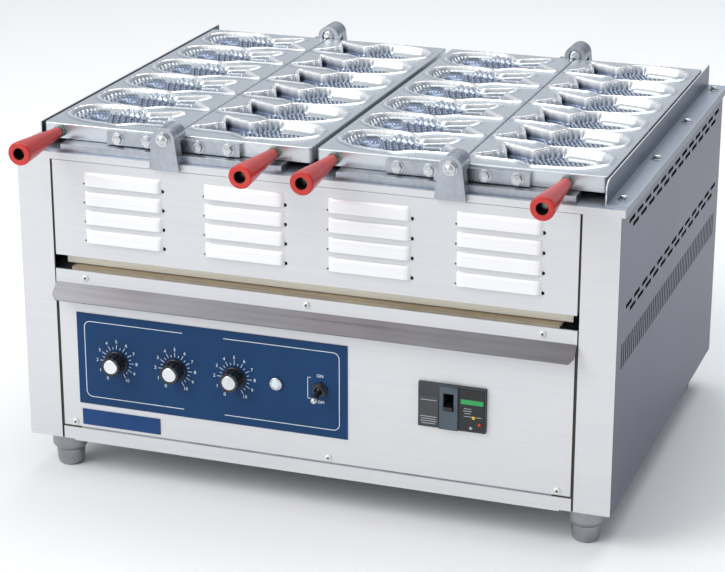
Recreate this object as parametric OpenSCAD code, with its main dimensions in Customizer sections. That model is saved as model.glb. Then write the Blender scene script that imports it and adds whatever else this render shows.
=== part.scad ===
// Electric fish-cake griddle: a steel cabinet on four levelling feet carries two pairs of hinged
// cast mould plates. X is to the right, Y to the back and Z up; lengths are millimetres.

/* [Cabinet] */
// Width over the side panels
body_w = 680; // [660:1:720]
// Depth from the front panels to the rear panel
body_d = 526; // [515:1:560]
// Height from the underside of the base to the top of the frame
body_h = 339; // [332:1:360]
// Thickness of the folded sheet steel
sheet = 1.5; // [1.2:0.1:2]
// Width of the front face of each side panel
pilaster_w = 40; // [36:1:44]
// Height of the bottom rail
rail_h = 14.5; // [12:0.5:18]
// Open line between the bottom rail and the control panel
rail_gap = 2.5; // [1.5:0.5:4]
// Height of the control panel
panel_h = 171; // [168:1:173]
// Open line at each end of the front panels
end_gap = 2.5; // [1.5:0.5:4]
// Height of the open slot above the tray's front strip
slot_h = 16.5; // [12:0.5:22]
// Height of the front band of the top frame
band_h = 8; // [6:0.5:10]
// Sideways overhang of the top frame
overhang = 4; // [3:0.5:8]

/* [Louvres and side slots] */
// Length of one louvre
louvre_w = 92; // [80:1:110]
// Height of one louvre
louvre_h = 15; // [12:0.5:18]
// How far a louvre is pressed out of the panel
louvre_out = 4; // [3:0.5:5]
// Spacing of the louvre columns
louvre_pitch_x = 142; // [125:1:142]
// Spacing of the louvre rows
louvre_pitch_z = 21.8; // [19:0.2:22]
// Number of tall slots low on each side panel
comb_count = 52; // [44:1:56]
// Height of the tall slots
comb_h = 29; // [20:1:32]
// Number of short slots in the upper row of each pair; the lower row has one less
dash_count = 13; // [10:1:14]
// Length of the short slots
dash_l = 27; // [18:1:28]
// Width of all side slots
slot_w = 4; // [3:0.5:5]

/* [Mould plates] */
// Open line between the two pairs of plates
pair_gap = 6.4; // [4:0.2:8]
// Open line between the outer plates and the splash guards
guard_gap = 2.5; // [1.5:0.5:4]
// Thickness of a plate
plate_t = 17.5; // [17:0.5:19]
// Half of the open line between the two plates of a pair
plate_gap = 0.6; // [0.4:0.1:1]
// Height of the rim round each fish
rim_h = 2; // [1:0.5:2.5]
// Width of the rim
rim_w = 2.2; // [1.5:0.1:2.6]
// Depth of a fish mould
mould_depth = 10.6; // [9.6:0.2:11.4]
// Depth of the shoulder inside the rim of a face-side fish
shoulder_depth = 3.4; // [3:0.1:3.8]
// Depth of the cheek and the tail channels of a face-side fish
cheek_depth = 7.4; // [6.6:0.2:8]
// Number of fish on a plate
fish_count = 6; // [4:1:6]
// Spacing of the fish
fish_pitch = 75.2; // [74.8:0.2:76.4]
// Flat strip between the outer edge and the snouts
fish_margin = 11; // [8:1:13]
// Flat strip between the tails and the hinge axis
tail_margin = 8.4; // [7:0.2:12]
// Depth of the recess under each fish
back_recess = 2.5; // [1:0.5:3]

/* [Hinges] */
// Radius of the hinge pins
pin_r = 5; // [4:0.5:6]
// Radius of the hinge knuckles and of the post tops
knuckle_r = 13; // [11:0.5:13.5]
// Thickness of a hinge post
post_t = 14; // [12:1:16]
// How far the posts stand proud of the front panels
post_out = 6; // [4:1:8]
// Width of the foot of a post
post_w = 35; // [30:1:40]
// Thickness of a hinge arm
arm_t = 7; // [6:0.5:8]
// Height of a hinge arm
arm_h = 14; // [12:0.5:14.5]
// Reach of a hinge arm from its axis
arm_l = 78; // [74:1:90]
// Height of the bars that carry the plates
bar_h = 8; // [6:0.5:10]
// Half length of a bar
bar_half = 130; // [110:1:138]

/* [Handles] */
// Distance of a left handle from its plate's outer edge
left_handle_in = 19.9; // [16:0.1:24]
// Distance of a right handle from its plate's outer edge
right_handle_in = 41.4; // [38:0.1:44]
// Length of a grip
grip_l = 92; // [70:1:120]
// Radius of a grip at the plate end
grip_r_root = 6; // [5.5:0.1:9]
// Radius of a grip at its free end
grip_r_tip = 13; // [10:0.5:13]
// Radius of the handle rods
rod_r = 4; // [3:0.5:4.5]

/* [Controls] */
// Width of the blue control plate
plate_blue_w = 322; // [316:1:330]
// Height of the blue control plate
plate_blue_h = 109; // [100:1:112]
// Spacing of the heat knobs
knob_pitch = 71; // [66:1:73]
// Radius of a heat knob
knob_r = 13; // [10:0.5:15]
// Height of a heat knob
knob_h = 17; // [12:1:22]
// Radius of a knob shaft
shaft_r = 3; // [2.5:0.5:4]
// Width of the circuit breaker's front
breaker_w = 75; // [70:1:80]
// Height of the circuit breaker's front
breaker_h = 50; // [46:1:54]
// How far the breaker stands out of the panel
breaker_out = 4; // [3:1:6]
// Radius of the breaker's buttons
button_r = 1.8; // [1.4:0.1:2]

/* [Crumb tray] */
// Height of the tray's front strip
strip_h = 15; // [13:1:16]
// Open line between the control panel's hidden top edge and the strip
strip_gap = 1.5; // [1:0.5:2]
// How far the handle lip flares forward
lip_out = 17; // [12:1:22]
// Drop of the handle lip
lip_drop = 16; // [12:1:20]
// Height of the tray's walls
tray_wall = 12; // [9:1:14]
// Depth of the tray
tray_d = 470; // [420:1:480]

/* [Feet] */
// Radius of the leg sockets
socket_r = 20.5; // [18:0.5:24]
// Height of the leg sockets
socket_h = 24; // [22:1:28]
// Radius of the feet
foot_r = 16.5; // [14:0.5:17]
// Height of the part of a foot below its socket
foot_h = 20; // [16:1:24]
// Distance of the feet from the cabinet's edges
foot_inset = 33; // [30:1:45]

/* [Hidden] */

$fn = 48;
// Radial gap of everything that turns or slides on a pin
run_gap = 0.05;
// Gap kept between pieces that move past each other
clear = 0.4;

half_w = body_w / 2;
base_z = socket_h + foot_h;
top_z = base_z + body_h;
band_z = top_z - band_h;
side_in = half_w - sheet;
return_w = 20;
post_edge = half_w - pilaster_w;
flange_in = post_edge - 15;
inner_w = flange_in - 1;
tab_screw_x = flange_in - 3;
front_half = post_edge - end_gap;

panel_z = base_z + rail_h + rail_gap;
panel_top = panel_z + panel_h;
louvre_top = band_z - 0.4;
shield_z = panel_top - sheet - 1;
shield_drop = 14;
strip_z = panel_top + strip_gap;
louvre_z = strip_z + strip_h + slot_h;
louvre_margin = 19;
louvre_rows = floor((louvre_top - louvre_z - louvre_margin) / louvre_pitch_z);

// Inside the cabinet: the heat chamber, the tray under it and the screws that hold the panels
opening_x = inner_w - 1;
opening_y = 44;
tray_half = inner_w - 5;
tray_z = shield_z + sheet + 8.7;
tray_front_y = -clear;
tray_runner_y = 12;
tray_screw_x = [17 - tray_half, 0, tray_half - 17];
tray_screw_z = strip_z + strip_h / 2;
liner_bottom = tray_z + tray_wall + 3;
heater_r = 4;
heater_span = 42;
heater_x = [for (i = [-1 : 1]) i * opening_x * 2 / 3];
heater_z = top_z - 30;
heater_tail = 16;
heater_front = opening_y + 34;
heater_back = body_d - opening_y - 40;
stud_r = 6;
screw_r = 2;
pan_flange_h = 34;
pan_return_h = 14;
tab_w = 8;
tab_h = 40;
panel_screw_x = [-tab_screw_x, 24, tab_screw_x];
rail_screw_x = [-183, 2, 188];
rear_screw_x = [-half_w + 10, half_w - 10];
rear_screw_end = 40;
rear_screw_z = [base_z + rear_screw_end, (base_z + band_z) / 2, band_z - rear_screw_end];

// Heights and places round the plates
bar_z = top_z + bar_h;
plate_z = bar_z + 0.3;
plate_top = plate_z + plate_t;
rim_top = plate_top + rim_h;
axis_z = rim_top + 0.3;
post_front = -post_out;
post_back = post_front + post_t;
left_knuckle_t = 9.7;
left_knuckle_y = post_back + clear;
arm_y = left_knuckle_y + left_knuckle_t + clear;
plate_y = arm_y + arm_t;
plate_d = body_d - 2 * plate_y;
arm_z = axis_z - 5 - arm_h;
bolt_x = [30, 65];
bolt_r = 3;
bolt_head = 4.5;
arm_mid_z = arm_z + arm_h / 2;
bar_y = post_back;
bar_d = plate_y - post_back + 8;
pin_end = plate_y - clear;
pin_head_t = 2.2;
pin_head_r = 7.5;
guard_x = half_w - 19.5;
guard_h = rim_top - top_z;
guard_y = 8.6;
guard_r = 12;
guard_hole_r = 2.5;
guard_screw_x = guard_x + 13;
guard_screw_y = [34, 0.36 * body_d, 0.66 * body_d, body_d - 24];
plate_w = (guard_x - guard_gap - pair_gap / 2) / 2;
hinge_x = plate_w + pair_gap / 2;

// Cable gland at the rear, handles, and the shift that centres the whole object
gland_x = half_w - 90;
gland_z = base_z + 46;
gland_out = 25;
gland_bore = 7;
handle_z = plate_z + plate_t / 2;
nut_t = 7;
grip_front = plate_y - nut_t - grip_l;
mid_y = (grip_front + body_d + gland_out) / 2;

// Places on the control panel
blue_x = 24.5 - post_edge;
blue_z = base_z + 46.6;
blue_t = 1;
dial_x = blue_x + 48;
dial_z = blue_z + plate_blue_h / 2 + 0.5;
lamp_x = dial_x + 2 * knob_pitch + 49.5;
toggle_x = lamp_x + 51;
breaker_x = post_edge - 172.2;
breaker_z = base_z + 77;
breaker_lever_x = breaker_x + 34.4;
breaker_lever_z = breaker_z + 31.4;
breaker_lever_w = 10.4;
lever_half = breaker_lever_w / 2;
breaker_step_x = [breaker_x + 24, breaker_x + 45];
breaker_more = 38;
breaker_body_d = 60.5;
breaker_buttons = [[62.2, 17], [68.7, 10], [59.2, 5]];
badge_w = 96;
badge_h = 19;
badge_x = blue_x + 2.6;
badge_z = base_z + 20.5;
lever_pivot_y = 24;
lever_tilt = 11;
toggle_tilt = 20;
pointer_rest = 150;
flute_count = 12;
regulator_y = 14;
regulator_d = 32;
regulator_half = 21;
toggle_y = -blue_t - 4;
ball_r = 4;
screw_z = base_z + 22;

// Electrics on the base pan
contactor_size = [54, 84, 58];
contactor_cap = [38, 40, 20];
contactor_y = body_d / 2 - 3;
terminal_size = [84, 34, 30];
terminal_in = 110;
support_in = 60;
support_h = 16;
support_t = 3;

// One fish, snout at the origin, tail along +u, back along +v
fish_outline = [
    [0, 36], [1, 48], [3, 56.5], [13, 66], [28, 70.5], [44, 73], [56, 74], [65, 72], [72, 66.5],
    [78, 58], [85, 53], [93, 57], [104, 62], [113, 66], [120, 69], [118, 60], [114, 51],
    [113, 45.5], [118, 39.5], [128, 29], [136.5, 21.5], [138, 16.5], [130, 14.5], [115, 14],
    [100, 12.8], [89, 11.2], [81, 6.5], [74, 1.5], [69, 0], [55, 2.5], [37, 5], [21, 10],
    [8, 20], [2, 28]
];
fish_long = 138;
fish_high = 74;
fish_stretch = (plate_w - fish_margin - tail_margin) / fish_long;
fish_drawn = [for (q = fish_outline) [q[0] * fish_stretch, q[1]]];
fish_start = (plate_d - (fish_count - 1) * fish_pitch - fish_high) / 2;

// Face side: the cheek, the scaled body, the back fin and the two channels of the tail
cheek_area = [
    [14, 36], [15, 46], [20, 56], [28, 62], [38, 65.5], [51, 67], [54.5, 54], [56, 36],
    [54, 21], [50.5, 9], [38, 12], [24, 18.5], [16, 28]
];
body_area = [
    [58.5, 7], [58.5, 66], [64, 52], [80, 50], [89, 46], [89, 17], [80, 11], [68, 5]
];
fin_area = [[63, 52], [66, 77], [75, 73], [80, 59], [80, 51]];
channel_areas = [
    [[91, 37.5], [91, 52], [112, 60.5], [110, 46], [110, 37.5]],
    [[91, 33], [116, 33], [122, 24], [116, 18.5], [100, 17.5], [92, 15.5]]
];
body_depth = shoulder_depth + 1.2;
fin_depth = shoulder_depth - 1.6;
scale_depth = body_depth + 1.6;
scale_rows = [[63.3, 9, 49], [68.9, 9, 48.5], [74.5, 12, 48], [80.1, 15, 47], [85.7, 19, 44]];

// Back side: each step down has its share of the depth, its inset, and more inset at the snout
back_steps = [[0.48, 0, 0], [0.81, -1.3, -3.5], [1, -2.6, -6]];
snout_reach = 60;
ridge_v = [20, 28, 36, 44, 52];
ridge_u = [32, 82];
ridge_h = 2;

// Moves every point of a clockwise outline outwards by d, and more towards the snout
function unit(v) = v / norm(v);
function grown(p, d, more = 0) = let (n = len(p)) [
    for (i = [0 : n - 1])
        let (t = unit(p[(i + 1) % n] - p[(i + n - 1) % n]))
            p[i] + (d + more * max(0, 1 - p[i][0] / snout_reach)) * [-t[1], t[0]]
];
function stretched(p) = [for (q = p) [q[0] * fish_stretch, q[1]]];

// Box from its lowest to its highest corner
module block(lo, hi) {
    translate(lo) cube(hi - lo);
}

// Cylinder along Y from y0 to y1
module rod_y(x, z, r, y0, y1) {
    translate([x, y0, z]) rotate([-90, 0, 0]) cylinder(r = r, h = y1 - y0);
}

// Slot with round ends, lying in the YZ plane and cut through X
module slot_x(x, y, z, len_y, len_z) {
    w = min(len_y, len_z);
    translate([x, y, z]) rotate([90, 0, 90]) linear_extrude(4 * sheet, center = true) {
        square([len_y - (len_y > w ? w : 0), len_z - (len_z > w ? w : 0)], center = true);
        if (len_y > len_z) for (s = [-1, 1]) translate([s * (len_y - w) / 2, 0]) circle(d = w);
        if (len_z > len_y) for (s = [-1, 1]) translate([0, s * (len_z - w) / 2]) circle(d = w);
    }
}

// Everything is drawn with the front panels at Y = 0 and moved back as a whole
module placed() {
    translate([0, -mid_y, 0]) children();
}

module mirrored(on) {
    if (on) mirror([1, 0, 0]) children();
    else children();
}

module four_corners() {
    for (x = [-1, 1], y = [foot_inset, body_d - foot_inset])
        translate([x * (half_w - foot_inset), y, 0]) children();
}

module base_pan() {
    color("#B9BDC2") placed() difference() {
        union() {
            block([-side_in, 2 * sheet, base_z], [side_in, body_d - 2 * sheet, base_z + sheet]);
            block([tab_w - inner_w, sheet, base_z], [inner_w - tab_w, 2 * sheet, base_z + pan_flange_h]);
            block([return_w + 1 - half_w, body_d - 2 * sheet, base_z],
                [half_w - return_w - 1, body_d - sheet, base_z + pan_return_h]);
        }
        four_corners() cylinder(r = stud_r + 1.5, h = 3 * base_z);
        for (x = [-2, -1, 0, 1, 2], y = [-1, 0, 1])
            translate([x * 90, body_d / 2 + y * 60 + 30, base_z]) linear_extrude(9, center = true)
                square([40, 6], center = true);
        for (x = rail_screw_x) translate([x, 12, 0]) cylinder(r = 2, h = 3 * base_z);
        for (x = panel_screw_x) rod_y(x, screw_z, 2, 0, 9);
    }
}

// Side panel with its front face, the step behind the front panels and its rear return
module side_panel(left) {
    dash_z = [top_z - 27, top_z - 120];
    comb_z = dash_z[1] - 46.5;
    color("#8D93A1") placed() mirrored(left) difference() {
        union() {
            translate([0, 0, base_z]) linear_extrude(band_z - base_z) polygon([
                [half_w, 0], [half_w, body_d - sheet], [half_w - return_w, body_d - sheet],
                [half_w - return_w, body_d - 2 * sheet], [side_in, body_d - 2 * sheet],
                [side_in, sheet], [post_edge + sheet, sheet], [post_edge + sheet, 2 * sheet],
                [flange_in, 2 * sheet], [flange_in, sheet], [post_edge, sheet], [post_edge, 0]
            ]);
            block([side_in, 2 * sheet, band_z - 1], [half_w, body_d - 2 * sheet, top_z - sheet]);
            block([flange_in - tab_w, sheet, base_z], [flange_in + 1, 2 * sheet, base_z + tab_h]);
        }
        rod_y(tab_screw_x, screw_z, screw_r, -9, 9);
        for (z = rear_screw_z) rod_y(rear_screw_x[1], z, screw_r, body_d - 9, body_d + 9);
        for (i = [0 : comb_count - 1])
            slot_x(half_w, 25 + i * (body_d - 50) / (comb_count - 1), comb_z, slot_w, comb_h);
        for (z = dash_z, row = [0, 1], i = [0 : dash_count - 1 - row])
            slot_x(half_w, 50 + (i + row / 2) * (body_d - 85) / (dash_count - 1),
                z + 4.2 - row * 8.4, dash_l, slot_w + 0.6);
    }
}

module rear_panel() {
    color("#A7ABB2") placed() difference() {
        block([-half_w, body_d - sheet, base_z + 1], [half_w, body_d, band_z]);
        rod_y(gland_x, gland_z, gland_bore + 3, body_d - 9, body_d + 9);
        for (row = [0 : 2], i = [-6 : 6])
            translate([i * 40, body_d, band_z - 121 + row * 34]) rotate([90, 0, 0])
                linear_extrude(9, center = true) square([26, 6], center = true);
        for (x = rear_screw_x, z = rear_screw_z) rod_y(x, z, 2, body_d - 9, body_d + 9);
    }
}

module bottom_rail() {
    under_half = half_w - foot_inset - socket_r - 2;
    color("#D4D6D8") placed() difference() {
        union() {
            block([-front_half, 0, base_z], [front_half, sheet, base_z + rail_h]);
            block([-under_half, 0, base_z - sheet], [under_half, 20, base_z]);
        }
        for (x = rail_screw_x) translate([x, 12, 0]) cylinder(r = 2, h = 3 * base_z);
    }
}

module control_panel() {
    color("#DADBDC") placed() difference() {
        block([1 - front_half, 0, panel_z], [front_half - 1, sheet, panel_top]);
        for (i = [0 : 2]) rod_y(dial_x + i * knob_pitch, dial_z, shaft_r + 2, -9, 9);
        rod_y(lamp_x, dial_z, 6, -9, 9);
        rod_y(toggle_x, dial_z, 6, -9, 9);
        translate([breaker_x - 0.3, -9, breaker_z - 0.3]) cube([breaker_w + 0.6, 18, breaker_h + 0.6]);
        for (x = panel_screw_x) rod_y(x, screw_z, 2, -9, 9);
    }
}

// One pressed louvre: a hood that is open at the bottom
module louvre_hood(grow) {
    t = sheet * grow;
    rotate([90, 0, 90]) translate([0, 0, t]) linear_extrude(louvre_w - 2 * t)
        polygon([[sheet * (1 + grow), louvre_h - 2 * t], [0, louvre_h - 2 * t],
            [t - louvre_out, 3 - 0.5 * t], [t - louvre_out, -0.1 * t], [sheet * (1 + grow), -0.1 * t]]);
}

module louvre_places() {
    for (c = [-1.5 : 1.5], r = [0 : louvre_rows - 1])
        translate([c * louvre_pitch_x - louvre_w / 2, 0, louvre_z + louvre_margin + r * louvre_pitch_z])
            children();
}

module louvre_panel() {
    color("#DCDDDE") placed() difference() {
        union() {
            block([-front_half, 0, louvre_z], [front_half, sheet, louvre_top]);
            block([-inner_w, 0, louvre_z], [inner_w, 14, louvre_z + sheet]);
            louvre_places() intersection() {
                louvre_hood(0);
                block([0, -9, -1], [louvre_w, sheet, louvre_h]);
            }
        }
        louvre_places() louvre_hood(1);
    }
}

module top_frame() {
    edge = half_w + overhang;
    color("#C3C7CC") placed() difference() {
        union() {
            block([-edge, 0, top_z - sheet], [edge, body_d, top_z]);
            block([-edge, 0, band_z], [edge, sheet, top_z]);
            block([-edge, body_d - sheet, band_z], [edge, body_d, top_z]);
            for (s = [0, 1]) mirrored(s == 1) block([edge - sheet, 0, band_z], [edge, body_d, top_z]);
        }
        block([-opening_x, opening_y, 0], [opening_x, body_d - opening_y, 2 * top_z]);
        for (s = [-1, 1], y = guard_screw_y)
            translate([s * guard_screw_x, y, 0]) cylinder(r = guard_hole_r, h = 2 * top_z);
    }
}

// Splash guard: an angle screwed to the frame, its upright with a round front corner
module guard(left) {
    color("#9BA1AB") placed() mirrored(left) difference() {
        union() {
            block([guard_x, guard_y, top_z], [half_w + overhang - 0.3, body_d - 1, top_z + sheet]);
            translate([guard_x, 0, 0]) rotate([90, 0, 90]) linear_extrude(sheet) {
                translate([guard_y + guard_r, top_z + guard_h - guard_r]) circle(r = guard_r);
                polygon([[guard_y, top_z], [body_d - 1, top_z], [body_d - 1, top_z + guard_h],
                    [guard_y + guard_r, top_z + guard_h], [guard_y + guard_r, top_z + guard_h - guard_r],
                    [guard_y, top_z + guard_h - guard_r]]);
            }
        }
        for (y = guard_screw_y) translate([guard_screw_x, y, 0]) cylinder(r = guard_hole_r, h = 2 * top_z);
    }
}

// Pan-head screw along Y, its head at Y = 0 and facing -Y
module pan_screw(shank) {
    rotate([-90, 0, 0]) {
        difference() {
            translate([0, 0, -2.2]) cylinder(r1 = 2.6, r2 = 3.8, h = 2.2);
            for (a = [0, 90]) rotate([0, 0, a]) block([-2, -0.4, -3], [2, 0.4, -1.2]);
        }
        cylinder(r = screw_r - run_gap, h = shank);
    }
}

module case_screws() {
    color("#C9CCD0") placed() {
        for (x = panel_screw_x) translate([x, 0, screw_z]) pan_screw(6);
        for (x = rail_screw_x) translate([x, 12, base_z - sheet]) rotate([90, 0, 0]) pan_screw(7);
        for (x = rear_screw_x, z = rear_screw_z) translate([x, body_d, z]) 
            rotate([0, 0, 180]) pan_screw(5);
        for (s = [-1, 1], y = guard_screw_y) translate([s * guard_screw_x, y, top_z + sheet]) {
            cylinder(r = 6, h = 1);
            translate([0, 0, 1]) cylinder(r = 4.6, h = 3.4, $fn = 6);
            translate([0, 0, -6]) cylinder(r = guard_hole_r - run_gap, h = 6.5);
        }
    }
}

module heat_shield() {
    color("#A9ACB0") placed() {
        block([-side_in, 2 * sheet, shield_z], [side_in, body_d - 2 * sheet, shield_z + sheet]);
        block([-inner_w, sheet, shield_z - shield_drop], [inner_w, 2 * sheet, shield_z + sheet]);
    }
}

// Z-section runners that carry the tray's edges
module tray_runners() {
    color("#9EA2A7") placed() for (s = [0, 1]) mirrored(s == 1)
        translate([0, tray_runner_y, 0]) rotate([90, 0, 180]) mirror([1, 0, 0])
            linear_extrude(tray_d - 20) polygon([
            [tray_half + 1, tray_z - clear], [tray_half + 1, tray_z + 6], [tray_half + 1 + sheet, tray_z + 6],
            [tray_half + 1 + sheet, shield_z + 2 * sheet], [tray_half + 14, shield_z + 2 * sheet],
            [tray_half + 14, shield_z + sheet], [tray_half + 1, shield_z + sheet],
            [tray_half + 1, tray_z - clear - sheet], [tray_half - 12, tray_z - clear - sheet],
            [tray_half - 12, tray_z - clear]
        ]);
}

// Four-sided heat chamber wall, hung under the top frame by its turned-out edge
module chamber_liner() {
    color("#8F8A84") placed() difference() {
        union() {
            block([-opening_x - sheet, opening_y - sheet, liner_bottom],
                [opening_x + sheet, body_d - opening_y + sheet, top_z - sheet]);
            block([-opening_x - 12, opening_y - 12, top_z - 2 * sheet],
                [opening_x + 12, body_d - opening_y + 12, top_z - sheet]);
        }
        block([-opening_x, opening_y, 0], [opening_x, body_d - opening_y, 2 * top_z]);
        for (x = heater_x, s = [-1, 1])
            translate([x + s * heater_span * 1.5, body_d - opening_y, 0])
                rod_y(0, heater_z, heater_r + 0.3, -9, 9);
    }
}

// Heating element bent three times, its ends passing out through the rear of the chamber
module heater(x) {
    bend = heater_span / 2;
    translate([x, 0, heater_z]) {
        for (s = [-1, 1]) {
            rod_y(s * heater_span * 1.5, 0, heater_r, heater_front + bend, body_d - opening_y + heater_tail);
            rod_y(s * heater_span / 2, 0, heater_r, heater_front + bend, heater_back - bend);
            translate([s * heater_span, heater_front + bend, 0])
                rotate([0, 0, 180]) rotate_extrude(angle = 180) translate([bend, 0]) circle(r = heater_r);
        }
        translate([0, heater_back - bend, 0])
            rotate_extrude(angle = 180) translate([bend, 0]) circle(r = heater_r);
    }
}

module heaters() {
    color("#5B5552") placed() for (x = heater_x) heater(x);
}

module heater_supports() {
    color("#86817C") placed() for (y = [heater_front + support_in, heater_back - support_in])
        translate([-opening_x, y - support_t / 2, heater_z - heater_r - support_h])
            cube([2 * opening_x, support_t, support_h]);
}

// The front half of a thing and its mirror image at the rear
module both_ends() {
    children();
    translate([0, body_d, 0]) mirror([0, 1, 0]) children();
}

module support_bars() {
    color("#AEB3BA") placed() both_ends() for (s = [-1, 1])
        block([s * hinge_x - bar_half, bar_y, top_z], [s * hinge_x + bar_half, bar_y + bar_d, bar_z]);
}

// Outline of a post: a round head on a tapered foot, seen from the front
module post_shape(foot) {
    drop = axis_z - foot;
    lean = acos(knuckle_r / norm([post_w / 2, drop])) - atan2(drop, post_w / 2);
    touch = knuckle_r * [cos(lean), sin(lean)];
    circle(r = knuckle_r);
    polygon([[-post_w / 2, -drop], [post_w / 2, -drop], touch, [-touch[0], touch[1]]]);
}

module hinge_posts() {
    color("#A3A8B0") placed() both_ends() for (s = [-1, 1]) difference() {
        translate([s * hinge_x, post_back, axis_z]) rotate([90, 0, 0])
            linear_extrude(post_t) post_shape(band_z + 1.5);
        block([-body_w, 0, 0], [body_w, body_d, top_z]);
        rod_y(s * hinge_x, axis_z, pin_r + run_gap, post_front - 1, post_back + 1);
    }
}

// Hinge pin with a domed nut outside and a cross-recess pan head inside
module hinge_pins() {
    color("#CFD2D6") placed() both_ends() for (s = [-1, 1]) translate([s * hinge_x, 0, axis_z]) {
        rod_y(0, 0, pin_r, post_front - 2.5, pin_end - pin_head_t);
        difference() {
            translate([0, pin_end - pin_head_t, 0]) rotate([-90, 0, 0])
                cylinder(r1 = pin_head_r, r2 = pin_head_r - 2, h = pin_head_t);
            for (a = [0, 90])
                translate([0, pin_end, 0]) rotate([0, a, 0]) block([-3, -1.2, -0.6], [3, 1, 0.6]);
        }
        difference() {
            translate([0, post_front - 5, 0]) rotate([-90, 0, 0])
                cylinder(r1 = pin_head_r - 2, r2 = pin_head_r, h = 5);
            rod_y(0, 0, pin_r + run_gap, post_front - 3, post_front + 1);
            rod_y(0, 0, 2, post_front - 6, post_front);
        }
    }
}

module control_plate() {
    color("#1F4470") placed() difference() {
        block([blue_x, -blue_t, blue_z], [blue_x + plate_blue_w, 0, blue_z + plate_blue_h]);
        for (i = [0 : 2]) rod_y(dial_x + i * knob_pitch, dial_z, shaft_r + 2, -9, 9);
        rod_y(lamp_x, dial_z, 6, -9, 9);
        rod_y(toggle_x, dial_z, 6, -9, 9);
    }
}

module badge_plate() {
    color("#3C5F94") placed()
        block([badge_x, -blue_t, badge_z], [badge_x + badge_w, 0, badge_z + badge_h]);
}

// Heat regulators: a bush clamped to the panel and a body behind it, bored for the knob's shaft
module heat_regulators() {
    color("#E0DCD0") placed() for (i = [0 : 2]) difference() {
        x = dial_x + i * knob_pitch;
        union() {
            rod_y(x, dial_z, 9, sheet, regulator_y);
            translate([x - regulator_half, regulator_y, dial_z - regulator_half])
                cube([2 * regulator_half, regulator_d, 2 * regulator_half]);
        }
        rod_y(x, dial_z, shaft_r + run_gap, 0, regulator_y + 22);
    }
}

// Fluted outline of a knob's grip
function fluted(r) = [
    for (a = [0 : 6 : 354]) (r - 1.1 * pow(abs(sin(a * flute_count / 2)), 3)) * [cos(a), sin(a)]
];

// Knob on its shaft, with the bright cap on its face pointing at the lowest mark
module knob(i) {
    back = -blue_t - clear;
    front = back - knob_h;
    cap_r = knob_r - 5;
    color("#1B1B1D") placed() translate([dial_x + (i - 1) * knob_pitch, 0, dial_z]) {
        difference() {
            union() {
                rod_y(0, 0, knob_r, back - 3, back);
                translate([0, back - 2, 0]) rotate([90, 0, 0])
                    linear_extrude(knob_h - 2) polygon(fluted(knob_r - 1));
                rod_y(0, 0, shaft_r, back - 1, regulator_y + 20);
            }
            rod_y(0, 0, cap_r + run_gap, front - 1, front + 0.6);
        }
        difference() {
            rod_y(0, 0, cap_r, front - 0.6, front + 0.6 - run_gap);
            rotate([0, -pointer_rest, 0]) block([-0.6, front - 1, 2], [0.6, front - 0.3, cap_r + 1]);
        }
    }
}

module pilot_lamp() {
    color("#D8DADC") placed() {
        difference() {
            union() {
                rod_y(lamp_x, dial_z, 7.5, -blue_t - 3, -blue_t);
                rod_y(lamp_x, dial_z, 6 - run_gap, -blue_t, 26);
            }
            rod_y(lamp_x, dial_z, 5.4, -blue_t - 4, -blue_t - 1);
        }
        rod_y(lamp_x, dial_z, 5.4 - run_gap, -blue_t - 3.6, -blue_t - 1 - run_gap);
    }
}

module toggle_switch() {
    color("#2A2B2D") placed() difference() {
        union() {
            translate([toggle_x, -blue_t, dial_z]) rotate([90, 30, 0]) cylinder(r = 9, h = 3, $fn = 6);
            rod_y(toggle_x, dial_z, 6 - run_gap, toggle_y - 2.5, 14);
            block([toggle_x - 8, sheet, dial_z - 14], [toggle_x + 8, sheet + 24, dial_z + 14]);
        }
        rod_y(toggle_x, dial_z, ball_r + 0.3, toggle_y - 9, toggle_y + ball_r + 0.4);
    }
}

module toggle_lever() {
    color("#161617") placed() translate([toggle_x, toggle_y, dial_z]) rotate([toggle_tilt, 0, 0]) {
        sphere(r = ball_r);
        rotate([90, 0, 0]) cylinder(r1 = 2.2, r2 = 4, h = 16);
        translate([0, -16, 0]) sphere(r = 4);
    }
}

module breaker_body() {
    color("#26292B") placed() difference() {
        union() {
            translate([breaker_x, -breaker_out, breaker_z]) cube([breaker_w, breaker_out + sheet, breaker_h]);
            translate([breaker_x, sheet, breaker_z - breaker_more])
                cube([breaker_w, breaker_body_d, breaker_h + 2 * breaker_more]);
            block([breaker_step_x[0], -breaker_out - 2, breaker_z],
                [breaker_step_x[1], 0, breaker_z + breaker_h]);
        }
        translate([breaker_lever_x, 0, breaker_lever_z])
            block([-lever_half - 0.5, -20, -9.7], [lever_half + 0.5, lever_pivot_y + 7, 9.7]);
        translate([breaker_lever_x - lever_half - 3, lever_pivot_y, breaker_lever_z])
            rotate([0, 90, 0]) cylinder(r = 2 + run_gap, h = breaker_lever_w + 6);
        for (b = breaker_buttons) rod_y(breaker_x + b[0], breaker_z + b[1], button_r + run_gap, -9, 9);
    }
}

module breaker_lever() {
    reach = lever_pivot_y + breaker_out + 6;
    color("#0F1011") placed() translate([breaker_lever_x, lever_pivot_y, breaker_lever_z])
        rotate([lever_tilt, 0, 0]) {
            rotate([0, 90, 0]) cylinder(r = 6, h = breaker_lever_w, center = true);
            rotate([0, 90, 0]) cylinder(r = 2, h = breaker_lever_w + 5.2, center = true);
            block([-lever_half, -reach, -2.2], [lever_half, 0, 2.2]);
        }
}

module breaker_button(i, paint) {
    b = breaker_buttons[i];
    color(paint) placed() rod_y(breaker_x + b[0], breaker_z + b[1], button_r, -breaker_out - 1.5, 7);
}

module breaker_button_yellow() { breaker_button(0, "#D8B400"); }
module breaker_button_red() { breaker_button(1, "#C02018"); }
module breaker_button_grey() { breaker_button(2, "#9A9C9E"); }

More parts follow.
